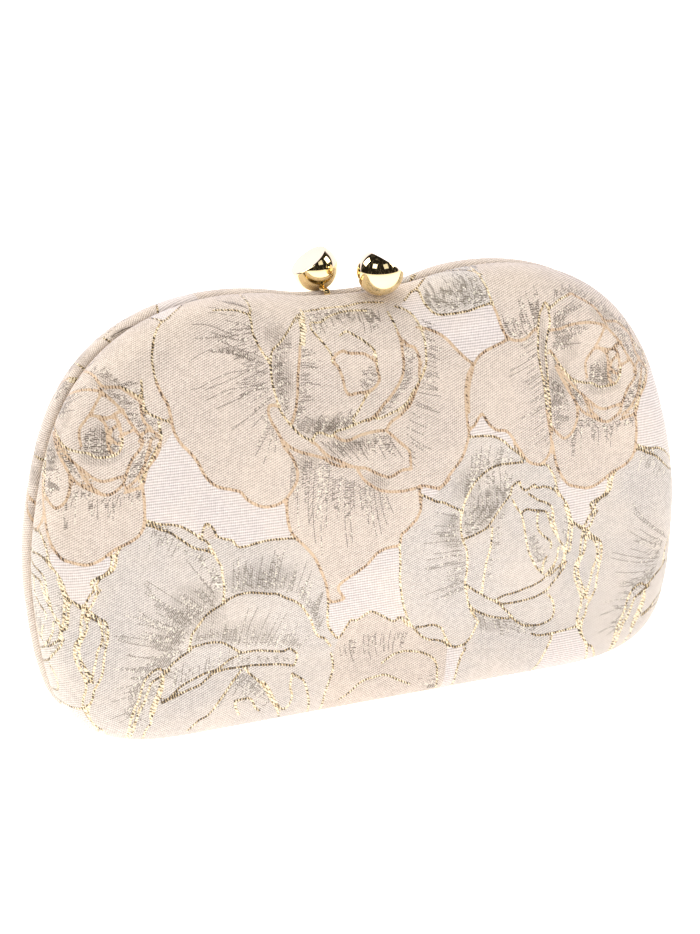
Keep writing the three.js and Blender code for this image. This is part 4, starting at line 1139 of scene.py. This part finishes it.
# ------------------------------------------------------------------ kiss lock arms: bent straps
def strap(name, x, half):
    """Strap from its foot inside one half, up through the seam and over into the other half's ball."""
    d = -half
    way = [(-4.6, 115.65, 3.6), (-3.0, 115.65, 3.6), (-1.7, 115.65, 2.6), (-1.1, 115.78, 1.7), (-0.85, 116.1, 1.25),
           (-0.8, 117.0, 1.1), (-0.8, 119.5, 1.1), (-0.8, 122.0, 0.9), (-0.7, 122.75, 0.85), (-0.42, 123.1, 0.85),
           (0.1, 123.25, 0.85), (1.6, 123.28, 0.85), (2.8, 123.3, 0.85), (4.6, 123.3, 0.85), (6.3, 123.3, 0.8)]
    pts = rounded(np.array([(y, z) for y, z, _ in way]), 4)
    wid = np.interp(np.linspace(0, len(way) - 1, len(pts)), range(len(way)), [w for _, _, w in way])
    tan = np.gradient(pts, axis=0)
    tan /= np.linalg.norm(tan, axis=1)[:, None]
    t, r, k = 0.34, 0.24, 5
    verts, faces = [], []
    for (y, z), (ty, tz), w in zip(pts, tan, wid):
        sec = []
        for cx, cz, a0 in ((w - r, t - r, 0), (r - w, t - r, 90), (r - w, r - t, 180), (w - r, r - t, 270)):
            for i in range(k):
                a = math.radians(a0 + 90 * i / (k - 1))
                sec.append((cx + r * math.cos(a), cz + r * math.sin(a)))
        for sx, sn in sec:
            verts.append((x + sx, d * (y - tz * sn), z + ty * sn))
    m = 4 * k
    for i in range(len(pts) - 1):
        for j in range(m):
            q = (i * m + j, i * m + (j + 1) % m, (i + 1) * m + (j + 1) % m, (i + 1) * m + j)
            faces.append(q if d > 0 else tuple(reversed(q)))
    faces.append(tuple(reversed(range(m))) if d > 0 else tuple(range(m)))
    end = (len(pts) - 1) * m
    faces.append(tuple(range(end, end + m)) if d > 0 else tuple(reversed(range(end, end + m))))
    ob = add_mesh(name, np.array(verts), faces)
    ob.data.set_sharp_from_angle(angle=math.radians(50))
    return ob


for name, half, s in (("left", -1, -1), ("right", 1, 1)):
    arm = strap(f"{name}_arm_strap", KNOB_MID_X + s * KNOB_DX, half)
    paint(arm, M_GOLD)
    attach(arm, f"{name}_latch")
    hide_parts(f"{name}_latch_arm")

# ------------------------------------------------------------------ side gussets: one inward pleat each
gp, gn = ring_points(2000)
for name, s in (("left", -1), ("right", 1)):
    zs = np.linspace(9.8, 64.5, 56)
    half_side = gp[:, 0] * s > 60
    verts, faces, cloth = [], [], []
    cols = np.linspace(-1, 1, 49)
    for z in zs:
        # outline place whose inset point sits at this height
        q = gp + gn * 5.6
        k = np.nonzero(half_side)[0]
        i = k[np.argmin(np.abs(q[k, 1] - z) + (q[k, 0] * s < 50) * 99)]
        o, nrm = gp[i], gn[i]
        deep = 2 + 0.5 * z
        for c in cols:
            a = abs(c)
            if a > 0.8:                     # tongue glued along the frame strip
                f = (a - 0.8) / 0.2
                d, y, w = 5.42 + 0.06 * (1 - f), 0.9 + 2.6 * f, deep + 0.7 + 2.6 * f
            else:
                f = a / 0.8
                d = 5.6 + deep * (1 - f)
                y = 0.9 * f ** 0.75 + 0.16 * math.sin(z * 0.55 + f * 3) * f * (1 - f) * 2
                w = deep * f
            pt = o + nrm * d
            verts.append((pt[0], (1 if c > 0 else -1) * y, pt[1]))
            cloth.append(((1 if c > 0 else -1) * w, z))
    w = len(cols)
    for r in range(len(zs) - 1):
        for c in range(w - 1):
            f = (r * w + c, r * w + c + 1, (r + 1) * w + c + 1, (r + 1) * w + c)
            faces.append(f)
    gus = add_mesh(f"{name}_satin_gusset", np.array(verts), faces)
    set_vec(gus, "fab", np.array(cloth))
    paint(gus, M_SATIN)
    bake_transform(gus)
    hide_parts(f"{name}_gusset")
    print("gusset", area_of(gus))

# ------------------------------------------------------------------ CAD nodes that stay
for node in NODES:
    ob = NODES[node]
    if node.endswith("shell"):
        paint(ob, M_BOARD)
    elif "hinge" in node or "arm" in node or "rivet" in node:
        paint(ob, M_GOLD)
    elif node.endswith("knob") or node.endswith("frame"):
        paint(ob, M_GOLD)
    elif node.endswith("cover"):
        paint(ob, M_BROCADE)
    elif node.endswith("padding"):
        paint(ob, M_FOAM)
    else:
        paint(ob, M_SATIN)

# ------------------------------------------------------------------ floor, sky and lights
n = Nodes("floor_paper")
grain = n.noise(n.obj(), 9.0, 3)
n.put(n.bsdf.inputs["Base Color"], n.mix(grain, srgb(250, 248, 246), srgb(254, 253, 252)))
n.bsdf.inputs["Roughness"].default_value = 0.9
n.bsdf.inputs["Emission Color"].default_value = (1, 0.965, 0.90, 1)
n.bsdf.inputs["Emission Strength"].default_value = 0.8
fv = [(0, 0, 0)]
ff = []
for k, r in enumerate((300, 900, 2500, 9000)):
    fv += [(r * math.cos(TAU * i / 64), r * math.sin(TAU * i / 64), 0) for i in range(64)]
    for i in range(64):
        j = (i + 1) % 64
        if k == 0:
            ff.append((0, 1 + i, 1 + j))
        else:
            a, b = 1 + 64 * (k - 1), 1 + 64 * k
            ff.append((a + i, b + i, b + j, a + j))
floor = add_mesh("floor", np.array(fv, float), ff)
floor.location.z = CAD_BOX[0].z - 0.0115  # clear of the front half, whose lower edge swings down as it opens
paint(floor, n.mat)

world = bpy.data.worlds.new("studio")
scene.world = world
world.use_nodes = True
wt = world.node_tree
wt.nodes.clear()
w = Nodes.__new__(Nodes)
w.t = wt
wout = wt.nodes.new("ShaderNodeOutputWorld")
bg = wt.nodes.new("ShaderNodeBackground")
wt.links.new(bg.outputs[0], wout.inputs[0])
gen = wt.nodes.new("ShaderNodeTexCoord").outputs["Generated"]
wx, wy, wz = w.xyz(gen)


def facing(direction, lo, hi):
    """0..1 as the ray turns towards a direction, between two cosines."""
    return w.step(w.v("DOT_PRODUCT", gen, tuple(Vector(direction).normalized())), lo, hi)


# pale sky for cloth and floor; polished metal sees a dark studio in front and a white wall behind
sky = (0.355, 0.35, 0.355, 1)
beams = w.step(w.noise(w.v("MULTIPLY", gen, (3.0, 3.0, 1.2)), 2.2, 3), 0.52, 0.72)
studio = w.mix(beams, (0.018, 0.015, 0.013, 1), (0.16, 0.15, 0.14, 1))
room = w.mix(facing((-0.42, -0.80, 0.42), -0.30, -0.14), (1.26, 1.24, 1.76, 1), studio)
rays = wt.nodes.new("ShaderNodeLightPath").outputs
w.put(bg.inputs["Color"], w.mix(rays["Is Camera Ray"], w.mix(rays["Is Glossy Ray"], sky, room), (1, 1, 1, 1)))
bg.inputs["Strength"].default_value = 1.0
world.cycles.sampling_method = "NONE"


def area_light(name, loc, target, size, power, colour=(1, 1, 1), size_y=None):
    d = bpy.data.lights.new(name, "AREA")
    d.energy = power
    d.color = colour
    d.shape = "RECTANGLE" if size_y else "SQUARE"
    d.size = size
    if size_y:
        d.size_y = size_y
    o = bpy.data.objects.new(name, d)
    scene.collection.objects.link(o)
    o.location = loc
    o.rotation_mode = "QUATERNION"
    o.rotation_quaternion = (Vector(target) - Vector(loc)).to_track_quat("-Z", "Y")
    return o


AIM = (0, 0, 0.06)


def window(name, direction, power, size, colour=(1, 1, 1)):
    d = Vector(direction).normalized() * 1.9
    return area_light(name, d + Vector(AIM), AIM, size, power, colour)


window("front_window", (0.165, -0.78, 0.59), 1.6, 0.72, (1, 0.99, 0.97))
window("left_window", (-0.614, -0.457, 0.642), 3.4, 0.66, (0.97, 0.985, 1))
window("right_window", (0.73, -0.386, 0.566), 8.0, 0.78, (1, 0.96, 0.905))
window("rear_window", (-0.649, 0.394, 0.65), 16.0, 0.84, (1, 0.955, 0.86))
d = Vector((-0.93, 0.2, 0.3)).normalized() * 1.7
area_light("left_fill", d + Vector(AIM), AIM, 1.0, 1.0).visible_glossy = False
area_light("top", (0.0, 0.1, 1.6), AIM, 1.2, 17.0, (1, 0.945, 0.8)).visible_glossy = False
